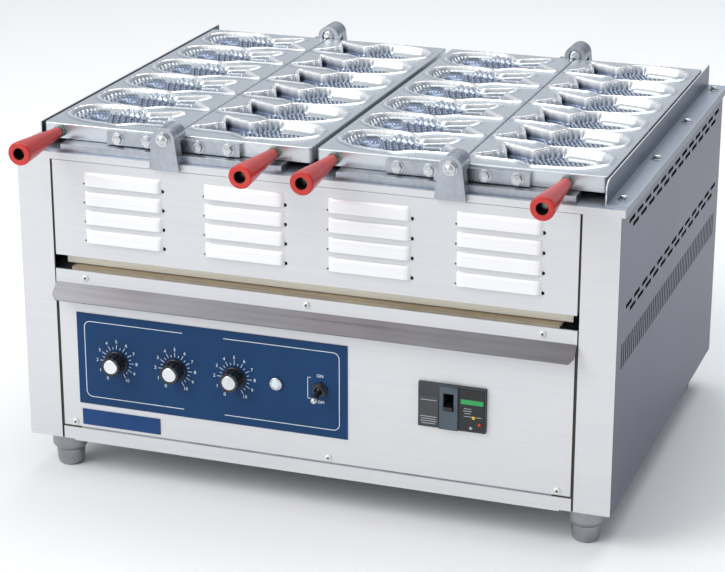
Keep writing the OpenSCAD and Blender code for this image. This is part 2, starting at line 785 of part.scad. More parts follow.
module contactor() {
    color("#3A3B3C") placed() translate([-half_w / 2, contactor_y, base_z + sheet]) {
        difference() {
            cube(contactor_size);
            for (y = [-1, contactor_size[1] - 9], i = [0 : 2])
                translate([6 + i * 16, y, contactor_size[2] - 24]) cube([10, 10, 30]);
        }
        translate([(contactor_size[0] - contactor_cap[0]) / 2, 22, contactor_size[2]]) cube(contactor_cap);
    }
}

module terminal_block() {
    step = terminal_size[0] / 4 - 1;
    color("#E6E0CC") placed() translate([gland_x - terminal_in, body_d - terminal_in, base_z + sheet])
        difference() {
            cube(terminal_size);
            for (i = [0 : 3], y = [-1, terminal_size[1] - 12])
                translate([4 + i * step, y, terminal_size[2] - 14]) cube([step - 4, 13, 20]);
        }
}

module cable_gland() {
    wall_r = gland_bore + 3;
    color("#2C2D2F") placed() difference() {
        union() {
            rod_y(gland_x, gland_z, wall_r - run_gap, body_d - 18, body_d + gland_out - 3);
            translate([gland_x, body_d, gland_z]) rotate([-90, 0, 0]) cylinder(r = 15, h = 6, $fn = 6);
            translate([gland_x, body_d + 8, gland_z]) rotate([-90, 0, 0])
                cylinder(r1 = 14, r2 = wall_r, h = gland_out - 8);
            translate([gland_x, body_d - sheet - 6, gland_z]) rotate([-90, 0, 0])
                cylinder(r = 15, h = 6, $fn = 6);
        }
        rod_y(gland_x, gland_z, gland_bore, body_d - 30, body_d + 2 * gland_out);
    }
}

module leg_sockets() {
    color("#9C9FA3") placed() four_corners() difference() {
        rotate_extrude() polygon([
            [0, foot_h], [foot_r + 1, foot_h], [socket_r, foot_h + 5], [socket_r, base_z], [0, base_z]
        ]);
        translate([0, 0, -1]) cylinder(r = stud_r + run_gap, h = 2 * base_z);
    }
}

module foot(i) {
    x = (i % 2 == 1 ? -1 : 1) * (half_w - foot_inset);
    y = i < 3 ? foot_inset : body_d - foot_inset;
    top = foot_h - 0.3;
    color(i < 3 ? "#8E8F91" : "#3A3A3B") placed() translate([x, y, 0]) rotate_extrude() polygon([
        [0, 0], [foot_r - 5, 0], [foot_r - 3, 0.5], [foot_r - 1.5, 2.5], [foot_r, top], [stud_r, top],
        [stud_r, base_z + 8], [0, base_z + 8]
    ]);
}

module crumb_tray() {
    color("#8A7A68") placed() difference() {
        block([-tray_half, tray_front_y + sheet, tray_z], [tray_half, tray_d, tray_z + tray_wall]);
        block([sheet - tray_half, tray_front_y + 2 * sheet, tray_z + sheet],
            [tray_half - sheet, tray_d - sheet, tray_z + 2 * tray_wall]);
        for (x = tray_screw_x) rod_y(x, tray_screw_z, screw_r, -9, 9);
    }
}

// Front strip of the tray with its flared handle lip
module tray_front() {
    y = tray_front_y;
    half = front_half + 1;
    color("#CFD0D1") placed() difference() {
        rotate([90, 0, 90]) translate([0, 0, -half]) linear_extrude(2 * half) polygon([
            [y + sheet, strip_z], [y + sheet, strip_z + strip_h], [y, strip_z + strip_h], [y, strip_z],
            [y - lip_out, strip_z - lip_drop], [y - lip_out + 0.7 * sheet, strip_z - lip_drop - 0.7 * sheet]
        ]);
        for (x = tray_screw_x) rod_y(x, tray_screw_z, screw_r, -9, 9);
        for (s = [-1, 1]) translate([s * half, y - lip_out - 2, 0]) rotate([0, 0, -s * 45])
            translate([0, 0, strip_z - lip_drop]) cube([11, 11, 60], center = true);
    }
}

module tray_screws() {
    color("#C9CCD0") placed() for (x = tray_screw_x) translate([x, tray_front_y, tray_screw_z]) pan_screw(5);
}

// Draws a right-hand plate's things at hinge i, mirrored for the left-hand plates
module at_hinge(i) {
    placed() translate([i < 3 ? -hinge_x : hinge_x, 0, 0]) mirrored(i % 2 == 1) children();
}

function handle_x(i) = plate_w - (i % 2 == 1 ? left_handle_in : right_handle_in);

module fish_place(row, z) {
    translate([plate_w - fish_margin, plate_y + fish_start + row * fish_pitch, z])
        mirror([1, 0, 0]) children();
}

// Everything above this depth, over an outline
module sunk(depth, outline) {
    translate([0, 0, -depth]) linear_extrude(depth + 2 * rim_h) polygon(outline);
}

// The hollow of a face-side fish: shallow, with its fin left standing and its scales cut in rows
module face_hollow() {
    difference() {
        sunk(shoulder_depth, fish_drawn);
        translate([0, 0, -2 * mould_depth]) linear_extrude(2 * mould_depth - fin_depth)
            polygon(stretched(fin_area));
    }
    sunk(body_depth, stretched(body_area));
    sunk(cheek_depth, stretched(cheek_area));
    for (area = channel_areas) sunk(cheek_depth, stretched(area));
    for (row = scale_rows) translate([row[0] * fish_stretch, row[1], -scale_depth])
        cube([1.3, row[2] - row[1], scale_depth]);
}

// The hollow of a back-side fish: deep, in steps, with ridges of scales on its floor
module back_hollow() {
    difference() {
        for (step = back_steps) sunk(step[0] * mould_depth, grown(fish_drawn, step[1], step[2]));
        for (v = ridge_v) translate([ridge_u[0] * fish_stretch, v - 1, -mould_depth - 1])
            cube([(ridge_u[1] - ridge_u[0]) * fish_stretch, 2, ridge_h + 1]);
    }
}

module mould_plate(i) {
    color("#C6CCD3") at_hinge(i) difference() {
        union() {
            block([plate_gap, plate_y, plate_z], [plate_w, plate_y + plate_d, plate_top]);
            for (row = [0 : fish_count - 1])
                fish_place(row, plate_top - 1) linear_extrude(rim_h + 1) polygon(grown(fish_drawn, rim_w));
        }
        for (row = [0 : fish_count - 1]) {
            fish_place(row, plate_top) if (i % 2 == 1) face_hollow(); else back_hollow();
            translate([14, plate_y + fish_start + row * fish_pitch + 4, plate_z - 9])
                cube([plate_w - 28, fish_high - 8, 9 + back_recess]);
        }
        rod_y(handle_x(i), handle_z, rod_r + run_gap, plate_y - 1, plate_y + 10);
        both_ends() for (x = bolt_x) rod_y(x, arm_mid_z, bolt_r + run_gap, plate_y - 1, plate_y + 8);
    }
}

// Front and rear arms of a plate with their bolts; the left-hand arms step forward at the knuckle
module hinge_arms(i) {
    left = i % 2 == 1;
    knuckle_y = left ? left_knuckle_y : arm_y;
    knuckle_t = left ? left_knuckle_t : arm_t - clear;
    start = left ? knuckle_r + 2.5 : 2;
    color("#B4BAC2") at_hinge(i) both_ends() {
        difference() {
            union() {
                block([start, arm_y, arm_z], [arm_l, plate_y, arm_z + arm_h]);
                rod_y(0, axis_z, knuckle_r, knuckle_y, knuckle_y + knuckle_t);
                block([0, knuckle_y, arm_z], [start + 6.5, knuckle_y + knuckle_t, arm_z + arm_h]);
                if (left) block([start, knuckle_y, arm_z], [start + 6.5, plate_y, arm_z + arm_h]);
            }
            rod_y(0, axis_z, pin_r + run_gap, knuckle_y - 1, knuckle_y + knuckle_t + 1);
            if (!left) rod_y(0, axis_z, pin_head_r + clear, pin_end - pin_head_t - clear, plate_y);
            for (x = bolt_x) rod_y(x, arm_mid_z, bolt_r + run_gap, 0, plate_y + 1);
        }
        for (x = bolt_x) {
            rod_y(x, arm_mid_z, bolt_r, arm_y - 1, plate_y + 7);
            translate([x, arm_y - bolt_head - run_gap, arm_mid_z]) rotate([-90, 0, 0])
                cylinder(r = 5.6, h = bolt_head, $fn = 6);
        }
    }
}

module handle_rod(i) {
    head = grip_front + 12;
    color("#B9C4B6") at_hinge(i) {
        rod_y(handle_x(i), handle_z, rod_r, head, plate_y + 9);
        rod_y(handle_x(i), handle_z, rod_r + 1.2, head - 4, head);
        difference() {
            translate([handle_x(i), plate_y - nut_t, handle_z]) rotate([-90, 0, 0])
                cylinder(r = 7, h = nut_t, $fn = 6);
            rod_y(handle_x(i), handle_z, rod_r + run_gap, 0, plate_y + 1);
        }
    }
}

// Turned grip: slender at the plate, thick and rounded at the free end, with a stepped bore
module grip(i) {
    color("#C8281E") at_hinge(i) translate([handle_x(i), grip_front, handle_z]) rotate([-90, 0, 0])
        rotate_extrude() polygon([
            [rod_r + 2, 0], [grip_r_tip - 2.5, 0], [grip_r_tip - 0.7, 0.7], [grip_r_tip, 2.5],
            [grip_r_tip - 0.5, 14], [grip_r_root, grip_l - 2], [grip_r_root - 1.2, grip_l],
            [rod_r + run_gap, grip_l], [rod_r + run_gap, 12], [rod_r + 2, 12]
        ]);
}

base_pan();
side_panel(true);  // left_side_panel
side_panel(false);  // right_side_panel
rear_panel();
bottom_rail();
control_panel();
louvre_panel();
top_frame();
guard(true);  // left_guard
guard(false);  // right_guard
case_screws();
heat_shield();
tray_runners();
chamber_liner();
heaters();
heater_supports();
support_bars();
hinge_posts();
hinge_pins();
control_plate();
badge_plate();
heat_regulators();
pilot_lamp();
toggle_switch();
breaker_body();
contactor();
terminal_block();
cable_gland();
leg_sockets();
crumb_tray();
tray_front();
tray_screws();
mould_plate(1);  // mould_plate_1
mould_plate(2);  // mould_plate_2
mould_plate(3);  // mould_plate_3
mould_plate(4);  // mould_plate_4
hinge_arms(1);  // hinge_arms_1
hinge_arms(2);  // hinge_arms_2
hinge_arms(3);  // hinge_arms_3
hinge_arms(4);  // hinge_arms_4
handle_rod(1);  // handle_rod_1
handle_rod(2);  // handle_rod_2
handle_rod(3);  // handle_rod_3
handle_rod(4);  // handle_rod_4
grip(1);  // grip_1
grip(2);  // grip_2
grip(3);  // grip_3
grip(4);  // grip_4
knob(1);  // knob_1
knob(2);  // knob_2
knob(3);  // knob_3
toggle_lever();
breaker_lever();
breaker_button_yellow();
breaker_button_red();
breaker_button_grey();
foot(1);  // foot_1
foot(2);  // foot_2
foot(3);  // foot_3
foot(4);  // foot_4
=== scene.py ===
import math

import bmesh
import bpy
import numpy as np
from mathutils import Matrix, Vector
from mathutils.geometry import delaunay_2d_cdt


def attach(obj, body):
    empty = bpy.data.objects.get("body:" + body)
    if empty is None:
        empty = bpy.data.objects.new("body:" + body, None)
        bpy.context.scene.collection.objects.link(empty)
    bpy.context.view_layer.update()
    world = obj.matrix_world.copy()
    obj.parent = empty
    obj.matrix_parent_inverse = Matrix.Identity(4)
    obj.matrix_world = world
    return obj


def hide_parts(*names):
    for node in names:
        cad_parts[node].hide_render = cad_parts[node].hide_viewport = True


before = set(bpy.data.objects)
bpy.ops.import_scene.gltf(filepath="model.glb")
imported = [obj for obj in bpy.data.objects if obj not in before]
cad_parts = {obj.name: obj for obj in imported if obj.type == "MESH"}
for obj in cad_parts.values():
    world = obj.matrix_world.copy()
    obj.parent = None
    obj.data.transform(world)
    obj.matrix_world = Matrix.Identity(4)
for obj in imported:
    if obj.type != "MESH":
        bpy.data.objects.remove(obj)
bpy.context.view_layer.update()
bpy.ops.object.select_all(action="DESELECT")

# Where it stands: a plain pale floor, seen from the right and a little above by a long lens.
# The studio is one big soft box over the front left, two weaker ones and a room that is white in
# front and grey behind and overhead, so bright metal has something to mirror.
CAMERA_PLACE = (0.8241, -2.37975, 1.0751)
CAMERA_TILT, CAMERA_TURN, CAMERA_LENS = 19.51, 19.56, 112.97
FLOOR_TONES = ((0.955, 0.955, 0.96, 1), (0.985, 0.985, 0.985, 1))
WHITE = (1, 1, 1, 1)
SKY_LOW = ((0.0, (0.8, 0.83, 0.88, 1)), (0.4, (0.68, 0.72, 0.79, 1)))
SKY_HIGH = ((0.54, (0.32, 0.37, 0.47, 1)), (0.76, (0.36, 0.41, 0.5, 1)), (0.9, WHITE))
DARK_SIDE = ((1, 0.1, 0), 0.15, 0.75, (0.2, 0.24, 0.31, 1))
LIGHT_SIDE = ((-0.5, -0.86, 0), 0.1, 0.62, WHITE)


def blank(name):
    """A new material, its nodes and links, and its shader."""
    finish = bpy.data.materials.new(name)
    finish.use_nodes = True
    tree = finish.node_tree
    return finish, tree.nodes, tree.links, tree.nodes["Principled BSDF"]


def made_node(nodes, kind, **settings):
    """A shader node with its settings; an underline in a name stands for a space."""
    new = nodes.new("ShaderNode" + kind)
    for name, value in settings.items():
        new.inputs[name.replace("_", " ")].default_value = value
    return new


def wired(links, *routes):
    """Joins nodes; a route is a node and its output, and the next node and its input."""
    for start, out, end, into in routes:
        links.new(start.outputs[out], end.inputs[into])


bpy.ops.object.camera_add(location=CAMERA_PLACE,
    rotation=(math.radians(90 - CAMERA_TILT), 0, math.radians(CAMERA_TURN)))
camera = bpy.context.object
camera.data.lens = CAMERA_LENS
camera.data.sensor_width = 36
camera.data.clip_end = 60
bpy.context.scene.camera = camera

bpy.ops.mesh.primitive_plane_add(size=40, location=(0, 0, 0))
floor = bpy.context.object
floor.name = "studio_floor"
floor_paint, nodes, links, shader = blank("floor_paint")
shader.inputs["Roughness"].default_value = 0.9
shader.inputs["Specular IOR Level"].default_value = 0.1
haze = made_node(nodes, "TexNoise", Scale=1.5)
tint = made_node(nodes, "ValToRGB")
for stop, shade in zip(tint.color_ramp.elements, FLOOR_TONES):
    stop.color = shade
wired(links, (haze, "Fac", tint, "Fac"), (tint, "Color", shader, "Base Color"))
floor.data.materials.append(floor_paint)

for name, power, size, place, aim in (
    ("key_box", 95, 2.6, (-2.3, -2.4, 2.7), (0, 0, 0.25)),
    ("top_box", 42, 2.4, (0.2, 1.4, 3.0), (0, 0, 0.3)),
    ("side_box", 9, 1.6, (3.0, 0.3, 1.4), (0.2, 0, 0.2)),
):
    bpy.ops.object.light_add(type="AREA", location=place)
    lamp = bpy.context.object
    lamp.name = name
    lamp.data.energy = power
    lamp.data.shape = "SQUARE"
    lamp.data.size = size
    lamp.rotation_euler = (Vector(aim) - Vector(place)).to_track_quat("-Z", "Y").to_euler()

studio = bpy.data.worlds.new("studio_room")
bpy.context.scene.world = studio
studio.use_nodes = True
nodes, links = studio.node_tree.nodes, studio.node_tree.links
around = made_node(nodes, "TexCoord")
split = made_node(nodes, "SeparateXYZ")
rise = made_node(nodes, "ValToRGB")
for i, (height, shade) in enumerate(SKY_LOW):
    rise.color_ramp.elements[i].position = height
    rise.color_ramp.elements[i].color = shade
for height, shade in SKY_HIGH:
    rise.color_ramp.elements.new(height).color = shade
wired(links, (around, "Generated", split, "Vector"), (split, "Z", rise, "Fac"))
ground = rise.outputs["Color"]
for way, start, end, shade in (DARK_SIDE, LIGHT_SIDE):
    turn = made_node(nodes, "VectorMath")
    turn.operation = "DOT_PRODUCT"
    turn.inputs[1].default_value = way
    links.new(around.outputs["Generated"], turn.inputs[0])
    share = made_node(nodes, "MapRange", From_Min=start, From_Max=end)
    links.new(turn.outputs["Value"], share.inputs["Value"])
    side = made_node(nodes, "Mix")
    side.data_type = "RGBA"
    side.inputs["B"].default_value = shade
    links.new(share.outputs["Result"], side.inputs["Factor"])
    links.new(ground, side.inputs["A"])
    ground = side.outputs["Result"]
links.new(ground, nodes["Background"].inputs["Color"])
nodes["Background"].inputs["Strength"].default_value = 0.75
bpy.context.scene.view_settings.view_transform = "Standard"

# Cabinet: folded stainless sheet, 1.5 mm thick, spot welded inside. The side panels are bent at
# the front and rear; the pan and the rear panel are flat sheets screwed between them.
FRONT_Y = 238.75
REAR = 526
NOTCH_X, NOTCH_HALF = 291.6, 8.2


def spot(x, y, z):
    """A place in millimetres from the front panels, as metres from the middle of the part."""
    return Vector((x, y - FRONT_Y, z)) * 0.001


def tone(code):
    """A colour as it is printed on a chart, for the shader."""
    parts = [int(code[i:i + 2], 16) / 255 for i in (1, 3, 5)]
    return [p / 12.92 if p < 0.04045 else ((p + 0.055) / 1.055) ** 2.4 for p in parts] + [1]


def two_tones(nodes, deep, pale, low, high):
    """A ramp from the deep to the pale tone."""
    ramp = made_node(nodes, "ValToRGB")
    for i, (code, position) in enumerate(((deep, low), (pale, high))):
        ramp.color_ramp.elements[i].position = position
        ramp.color_ramp.elements[i].color = tone(code)
    return ramp


def metal(name, pale, deep, rough, grain, metallic=1.0, dents=0.15, cloud=6.0, spread=0.07):
    """A rolled or cast metal: fine marks drawn out along the grain over slow clouds of tone."""
    finish, nodes, links, shader = blank(name)
    shader.inputs["Metallic"].default_value = metallic
    place = made_node(nodes, "TexCoord")
    drawn = made_node(nodes, "Mapping", Scale=grain)
    marks = made_node(nodes, "TexNoise", Scale=1, Detail=5, Roughness=0.65)
    clouds = made_node(nodes, "TexNoise", Scale=cloud, Detail=3)
    blend = made_node(nodes, "Mix", Factor=0.5)
    ramp = two_tones(nodes, deep, pale, 0.35, 0.62)
    gloss = made_node(nodes, "MapRange", From_Min=0.3, From_Max=0.7, To_Min=rough - spread,
        To_Max=rough + spread)
    bump = made_node(nodes, "Bump", Strength=dents, Distance=0.0004)
    wired(links, (place, "Object", drawn, "Vector"), (place, "Object", clouds, "Vector"),
        (drawn, "Vector", marks, "Vector"), (marks, "Fac", blend, "A"),
        (clouds, "Fac", blend, "B"), (blend, "Result", ramp, "Fac"),
        (ramp, "Color", shader, "Base Color"), (marks, "Fac", gloss, "Value"),
        (gloss, "Result", shader, "Roughness"), (marks, "Fac", bump, "Height"),
        (bump, "Normal", shader, "Normal"))
    return finish


def take(piece):
    """Makes one piece the active and only selected one."""
    bpy.ops.object.select_all(action="DESELECT")
    piece.select_set(True)
    bpy.context.view_layer.objects.active = piece
    return piece


def modified(piece, kind, **settings):
    """Sets a modifier on a piece and applies it."""
    take(piece)
    mod = piece.modifiers.new(kind.lower(), kind)
    for name, value in settings.items():
        setattr(mod, name, value)
    bpy.ops.object.modifier_apply(modifier=mod.name)
    return piece


def smoothed(piece, angle=38):
    """Smooth shading that keeps the creases and leaves the flats flat beside rounded edges."""
    take(piece)
    bpy.ops.mesh.customdata_custom_splitnormals_clear()
    bpy.ops.object.shade_smooth_by_angle(angle=math.radians(angle))
    return modified(piece, "WEIGHTED_NORMAL", keep_sharp=True)


def eased(piece, width, segments=2, angle=35):
    """Rounds every edge sharper than the angle."""
    return smoothed(modified(piece, "BEVEL", width=width * 0.001, segments=segments,
        limit_method="ANGLE", angle_limit=math.radians(angle)))


def opened(piece):
    """Opens a piece in edit mode with all of it selected."""
    take(piece)
    bpy.ops.object.mode_set(mode="EDIT")
    bpy.ops.mesh.select_all(action="SELECT")


def from_node(node, name, width, segments=2):
    """The part's own solid with its loose triangles merged into faces and its edges rounded."""
    piece = bpy.data.objects.new(name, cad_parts[node].data.copy())
    bpy.context.scene.collection.objects.link(piece)
    piece.data.materials.clear()
    take(piece)
    bpy.ops.mesh.customdata_custom_splitnormals_clear()
    opened(piece)
    bpy.ops.mesh.remove_doubles(threshold=0.00001)
    bpy.ops.mesh.dissolve_limited(angle_limit=math.radians(1))
    bpy.ops.object.mode_set(mode="OBJECT")
    return eased(piece, width, segments)


def fit(piece, body, finish, node=None):
    """Gives a piece its finish, what it moves with and the solid it stands for.
    """
    piece.data.materials.clear()
    piece.data.materials.append(finish)
    if node:
        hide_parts(node)
    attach(piece, body)
    return piece


def kept(node, name, width, body, finish, segments=2):
    """One of the part's own solids with its edges rounded, in its finish."""
    return fit(from_node(node, name, width, segments), body, finish, node)


def paint(node, finish):
    """A new finish for a solid whose shape is already right."""
    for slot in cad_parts[node].material_slots:
        slot.material = finish


def faced(piece, finish, where):
    """Gives another finish to the faces that pass a test of their middle, in mm, and normal."""
    piece.data.materials.append(finish)
    last = len(piece.data.materials) - 1
    for face in piece.data.polygons:
        middle = face.center * 1000
        if where(middle.x, middle.y + FRONT_Y, middle.z, face.normal):
            face.material_index = last
    return piece


def settled(piece):
    """Puts a piece's place, turn and scale into its mesh."""
    take(piece)
    bpy.ops.object.transform_apply(location=True, rotation=True, scale=True)
    return piece


def block(name, lo, hi):
    """A box between two corners."""
    a, b = spot(*lo), spot(*hi)
    bpy.ops.mesh.primitive_cube_add(size=1, location=(a + b) / 2)
    piece = bpy.context.object
    piece.name = name
    piece.scale = b - a
    return settled(piece)


def cut(piece, tool):
    """Takes the tool's shape out of the piece."""
    modified(piece, "BOOLEAN", object=tool)
    bpy.data.objects.remove(tool)
    return piece


# Painted shade: the side panels get a darker copy of the stainless, for their faces turned away
# from the lights.
shaded_side_steel = metal("side_stainless", "#676B7A", "#616573", 0.4, (500, 500, 12), 0.75, 0.02, 5, 0.03)
# Painted light: a brighter copy of the same stainless for faces that look forward, towards the
# lights: the front panels, the tray strip and the forward faces and edges of the other sheets.
lit_front_steel = metal("front_stainless", "#D9DADC", "#D0D2D5", 0.38, (5, 5, 420), 0.45, 0.02, 2.5,
    0.03)
pan_steel = metal("pan_zinc_steel", "#A3A7AC", "#7F848A", 0.45, (60, 60, 60), 0.9, 0.1, 25)
rear_steel = metal("rear_zinc_steel", "#A9ADB2", "#9A9EA4", 0.42, (12, 12, 500), 0.8, 0.03, 4, 0.04)
# Painted shade: near black for the walls of the slots in the side panels and for the cross recesses
# of the screw heads, where shade falls.
slot_and_recess_shade = metal("painted_slot_and_recess_shade", "#2E2D2E", "#1B1A1A", 0.6, (90, 90, 90), 0.3, 0.1)
gap_shade = metal("shaded_step", "#4A433B", "#38322C", 0.6, (60, 60, 200), 0.3, 0.1)
for side, way in (("left", -1), ("right", 1)):
    panel = from_node(side + "_side_panel", side + "_cabinet_side", 0.4)
    cut(panel, block("step_notch", (way * NOTCH_X - NOTCH_HALF, 1.2, 248.7),
        (way * NOTCH_X + NOTCH_HALF, 5, 266.8)))
    fit(panel, "cabinet", shaded_side_steel, side + "_side_panel")
    # Painted light: the front fold of each side panel takes the bright front copy.
    faced(panel, lit_front_steel, lambda x, y, z, n: n.y < -0.7 and y < 1)
    faced(panel, gap_shade, lambda x, y, z, n: abs(x) < 301.6 and y > 0.3)
    # Painted shade on the walls of the side panels' slots.
    faced(panel, slot_and_recess_shade, lambda x, y, z, n: abs(x) > 338.4 and 8 < y < 518 and 150 < z < 370
        and abs(n.x) < 0.3)
kept("rear_panel", "cabinet_back", 0.3, "cabinet", rear_steel)
paint("base_pan", pan_steel)

# Front: three flat stainless panels with open lines between them. The rail and the control panel
# are screwed on; the upper one has sixteen louvres pressed out of the sheet, open at the bottom.
LOUVRE_X = (-213, -71, 71, 213)
LOUVRE_Z = (284, 305.8, 327.6, 349.4)


def joined(name, pieces):
    """Several pieces made one object."""
    take(pieces[0])
    for piece in pieces:
        piece.select_set(True)
    bpy.ops.object.join()
    pieces[0].name = name
    return pieces[0]


def copied(piece, name, dx=0, dy=0, dz=0):
    """A copy with its own mesh, moved by millimetres."""
    new = piece.copy()
    new.data = piece.data.copy()
    new.name = name
    bpy.context.scene.collection.objects.link(new)
    new.data.transform(Matrix.Translation(Vector((dx, dy, dz)) * 0.001))
    return new


def outward(piece):
    """Faces every side of a piece outwards."""
    opened(piece)
    bpy.ops.mesh.normals_make_consistent(inside=False)
    bpy.ops.object.mode_set(mode="OBJECT")
    return piece


# The rail and the control panel take the bright front copy of the stainless: painted light.
for node, name in (("bottom_rail", "front_rail"), ("control_panel", "front_panel")):
    kept(node, name, 0.5, "cabinet", lit_front_steel)

# Painted light: the flange and drip edge sit in shade behind the panel's lower edge, and their
# steel is made a pale cream so that they look lit.
lit_drip_steel = metal("drip_edge_painted_light", "#F3F1E6", "#E9E6DA", 0.5, (5, 5, 300), 0.15, 0.02, 4, 0.03)
# Painted highlight: the hoods of the louvres are made near white, for the bright room they mirror.
hood_highlight = metal("pressed_stainless_highlight", "#F4F4F5", "#EEEFF1", 0.42, (5, 5, 300), 0.25, 0.01,
    2.5, 0.03)
HOOD_HALF, HOOD_HIGH = 46, 15
bpy.ops.mesh.primitive_grid_add(x_subdivisions=46, y_subdivisions=16, size=1)
hood = bpy.context.object
for v in hood.data.vertices:
    x, h = v.co.x * 2 * HOOD_HALF, (v.co.y + 0.5) * (HOOD_HIGH + 0.4) - 0.4
    end = min(1, (HOOD_HALF - abs(x)) / 7)
    crown = min(1, (HOOD_HIGH - h) / 6)
    slope = 2.6 + 1.4 * (HOOD_HIGH - h) / HOOD_HIGH
    out = slope * math.sqrt(max(0, 1 - (1 - end) ** 2)) * math.sqrt(max(0, 1 - (1 - crown) ** 2))
    v.co = spot(x, 0.2 - out, h)
modified(hood, "SOLIDIFY", thickness=0.0009, offset=-1)
DRIP_BACK, DRIP_LOW, DRIP_HALF = 15, 252.3, 290.5
panel = block("louvred_front", (-297.5, 0, 265), (297.5, 1.5, 374.6))
flange = block("louvred_flange", (-DRIP_HALF, 0.2, 265), (DRIP_HALF, DRIP_BACK, 266.5))
drip = block("drip_edge", (-DRIP_HALF, DRIP_BACK - 1.5, DRIP_LOW), (DRIP_HALF, DRIP_BACK, 266.2))
LOUVRES = [(x, z) for x in LOUVRE_X for z in LOUVRE_Z]
slots = [block("slot", (x - 45, -3, z - 0.4), (x + 45, 5, z + 10)) for x, z in LOUVRES]
cut(panel, joined("slots", slots))
for dx, r in ((47.2, 2.1), (-46.8, 1.1)):
    holes = []
    for x, z in LOUVRES:
        bpy.ops.mesh.primitive_cylinder_add(vertices=16, radius=r * 0.001, depth=0.012,
            location=spot(x + dx, 0, z + 0.7 + 0.3 * r), rotation=(math.pi / 2, 0, 0))
        holes.append(bpy.context.object)
    cut(panel, settled(joined("notches", holes)))
eased(panel, 0.4)
fold = eased(joined("fold", [flange, drip]), 0.4)
hoods = [copied(hood, "hood", x, 0, z) for x, z in LOUVRES]
bpy.data.objects.remove(hood)
hoods = smoothed(outward(joined("hoods", hoods)), 60)
panel = joined("louvred_front", [panel, fold, hoods])
fit(panel, "cabinet", lit_front_steel, "louvre_panel")
# Painted highlight on the forward faces of the hoods.
faced(panel, hood_highlight, lambda x, y, z, n: y < -0.2 and z > 280 and n.y < -0.2)
# Painted light on the flange and drip edge behind the panel.
faced(panel, lit_drip_steel, lambda x, y, z, n: y > 2)

# Top: a frame of folded sheet round the heat chamber. An angle on each side, bolted through the
# frame with washers, keeps splashes in; its upright has a round front corner.
FRAME_TOP = 385.5
BOLT_X, BOLT_Y = 333.5, (34, 189.4, 347.2, 502)
FRONT_SCREWS, FRONT_SCREW_Z = (-282, 24, 282), 66
UNDER_SCREWS = (-183, 2, 188)
BACK_SCREW_X, BACK_SCREW_Z = 330, (84, 209.5, 335)
frame_steel = metal("frame_stainless", "#C8CFDA", "#BEC5D0", 0.36, (400, 6, 400), 0.85, 0.02, 4,
    0.03)
# Painted shade: darker copies of the frame's stainless for the faces that look sideways, the side
# band of the frame and the uprights of the guards.
shaded_band_steel = metal("frame_side_band_shaded", "#8B9299", "#7F868D", 0.4, (6, 6, 400), 0.8, 0.02, 4, 0.03)
shaded_guard_steel = metal("guard_stainless_shaded", "#69717F", "#616977", 0.38, (400, 6, 400), 0.8, 0.02, 4,
    0.03)
screw_steel = metal("screw_steel", "#D9DBDC", "#B9BCC0", 0.28, (300, 300, 300), 1.0, 0.05)


def turned(name, profile, x, y, z, axis="Y", segs=40):
    """A turned piece: (radius, place along the axis) from end to end, spun round the axis."""
    along = {"X": (1, 0, 0), "Y": (0, 1, 0), "Z": (0, 0, 1)}[axis]
    across = {"X": (0, 0, 1), "Y": (1, 0, 0), "Z": (1, 0, 0)}[axis]
    middle = spot(x, y, z)
    mesh = bpy.data.meshes.new(name)
    points = [middle + (Vector(along) * t + Vector(across) * r) * 0.001 for r, t in profile]
    mesh.from_pydata(points, [(i, i + 1) for i in range(len(profile) - 1)], [])
    piece = bpy.data.objects.new(name, mesh)
    bpy.context.scene.collection.objects.link(piece)
    opened(piece)
    bpy.ops.mesh.spin(steps=segs, angle=2 * math.pi, center=middle, axis=along)
    bpy.ops.mesh.select_all(action="SELECT")
    bpy.ops.mesh.remove_doubles(threshold=0.000002)
    bpy.ops.mesh.normals_make_consistent(inside=False)
    bpy.ops.object.mode_set(mode="OBJECT")
    return smoothed(piece)


def hexed(name, r, y0, y1, x, z, turn=0, axis="Y"):
    """A hexagon head with its edges eased; on a Z axis y0 and y1 are heights and z is its depth."""
    bpy.ops.mesh.primitive_cylinder_add(vertices=6, radius=r * 0.001, depth=abs(y1 - y0) * 0.001)
    piece = bpy.context.object
    piece.name = name
    if axis == "Y":
        piece.rotation_euler = (math.pi / 2, math.radians(turn), 0)
        piece.location = spot(x, (y0 + y1) / 2, z)
    else:
        piece.rotation_euler = (0, 0, math.radians(turn))
        piece.location = spot(x, z, (y0 + y1) / 2)
    return eased(settled(piece), 0.5)


def swung(piece, angle, axis, pivot, goal=None):
    """Turns a piece about a pivot and, where a goal is given, carries the pivot there."""
    goal = pivot if goal is None else goal
    piece.data.transform(Matrix.Translation(goal) @ Matrix.Rotation(math.radians(angle), 4, axis)
        @ Matrix.Translation(-pivot))
    return piece


def near_screws(x, z, places, height):
    """Whether a point is in the recess of one of a row of screws."""
    return min(math.hypot(x - place, z - height) for place in places) < 1.5


top_sheet = kept("top_frame", "top_frame_sheet", 0.6, "cabinet", frame_steel)
# Painted light on the frame's forward faces, painted shade on its side band.
faced(top_sheet, lit_front_steel, lambda x, y, z, n: n.y < -0.5 and y < 1)
faced(top_sheet, shaded_band_steel, lambda x, y, z, n: abs(n.x) > 0.5 and abs(x) > 340)
for side in ("left", "right"):
    guard = from_node(side + "_guard", side + "_splash_guard", 0.35)
    if side == "left":
        cut(guard, block("front_end", (-326, -5, 386.2), (-318.8, 24.2, 416)))
    fit(guard, "cabinet", frame_steel, side + "_guard")
    for v in guard.data.vertices:
        if v.co.z > 0.4:
            v.co.z -= 0.0018
    # Painted shade on the guard's upright faces, painted light on its top edge and front end.
    faced(guard, shaded_guard_steel, lambda x, y, z, n: abs(n.x) > 0.7 and abs(x) < 323)
    faced(guard, lit_front_steel, lambda x, y, z, n: abs(n.x) < 0.5 and abs(x) < 322.5 and z > 386)

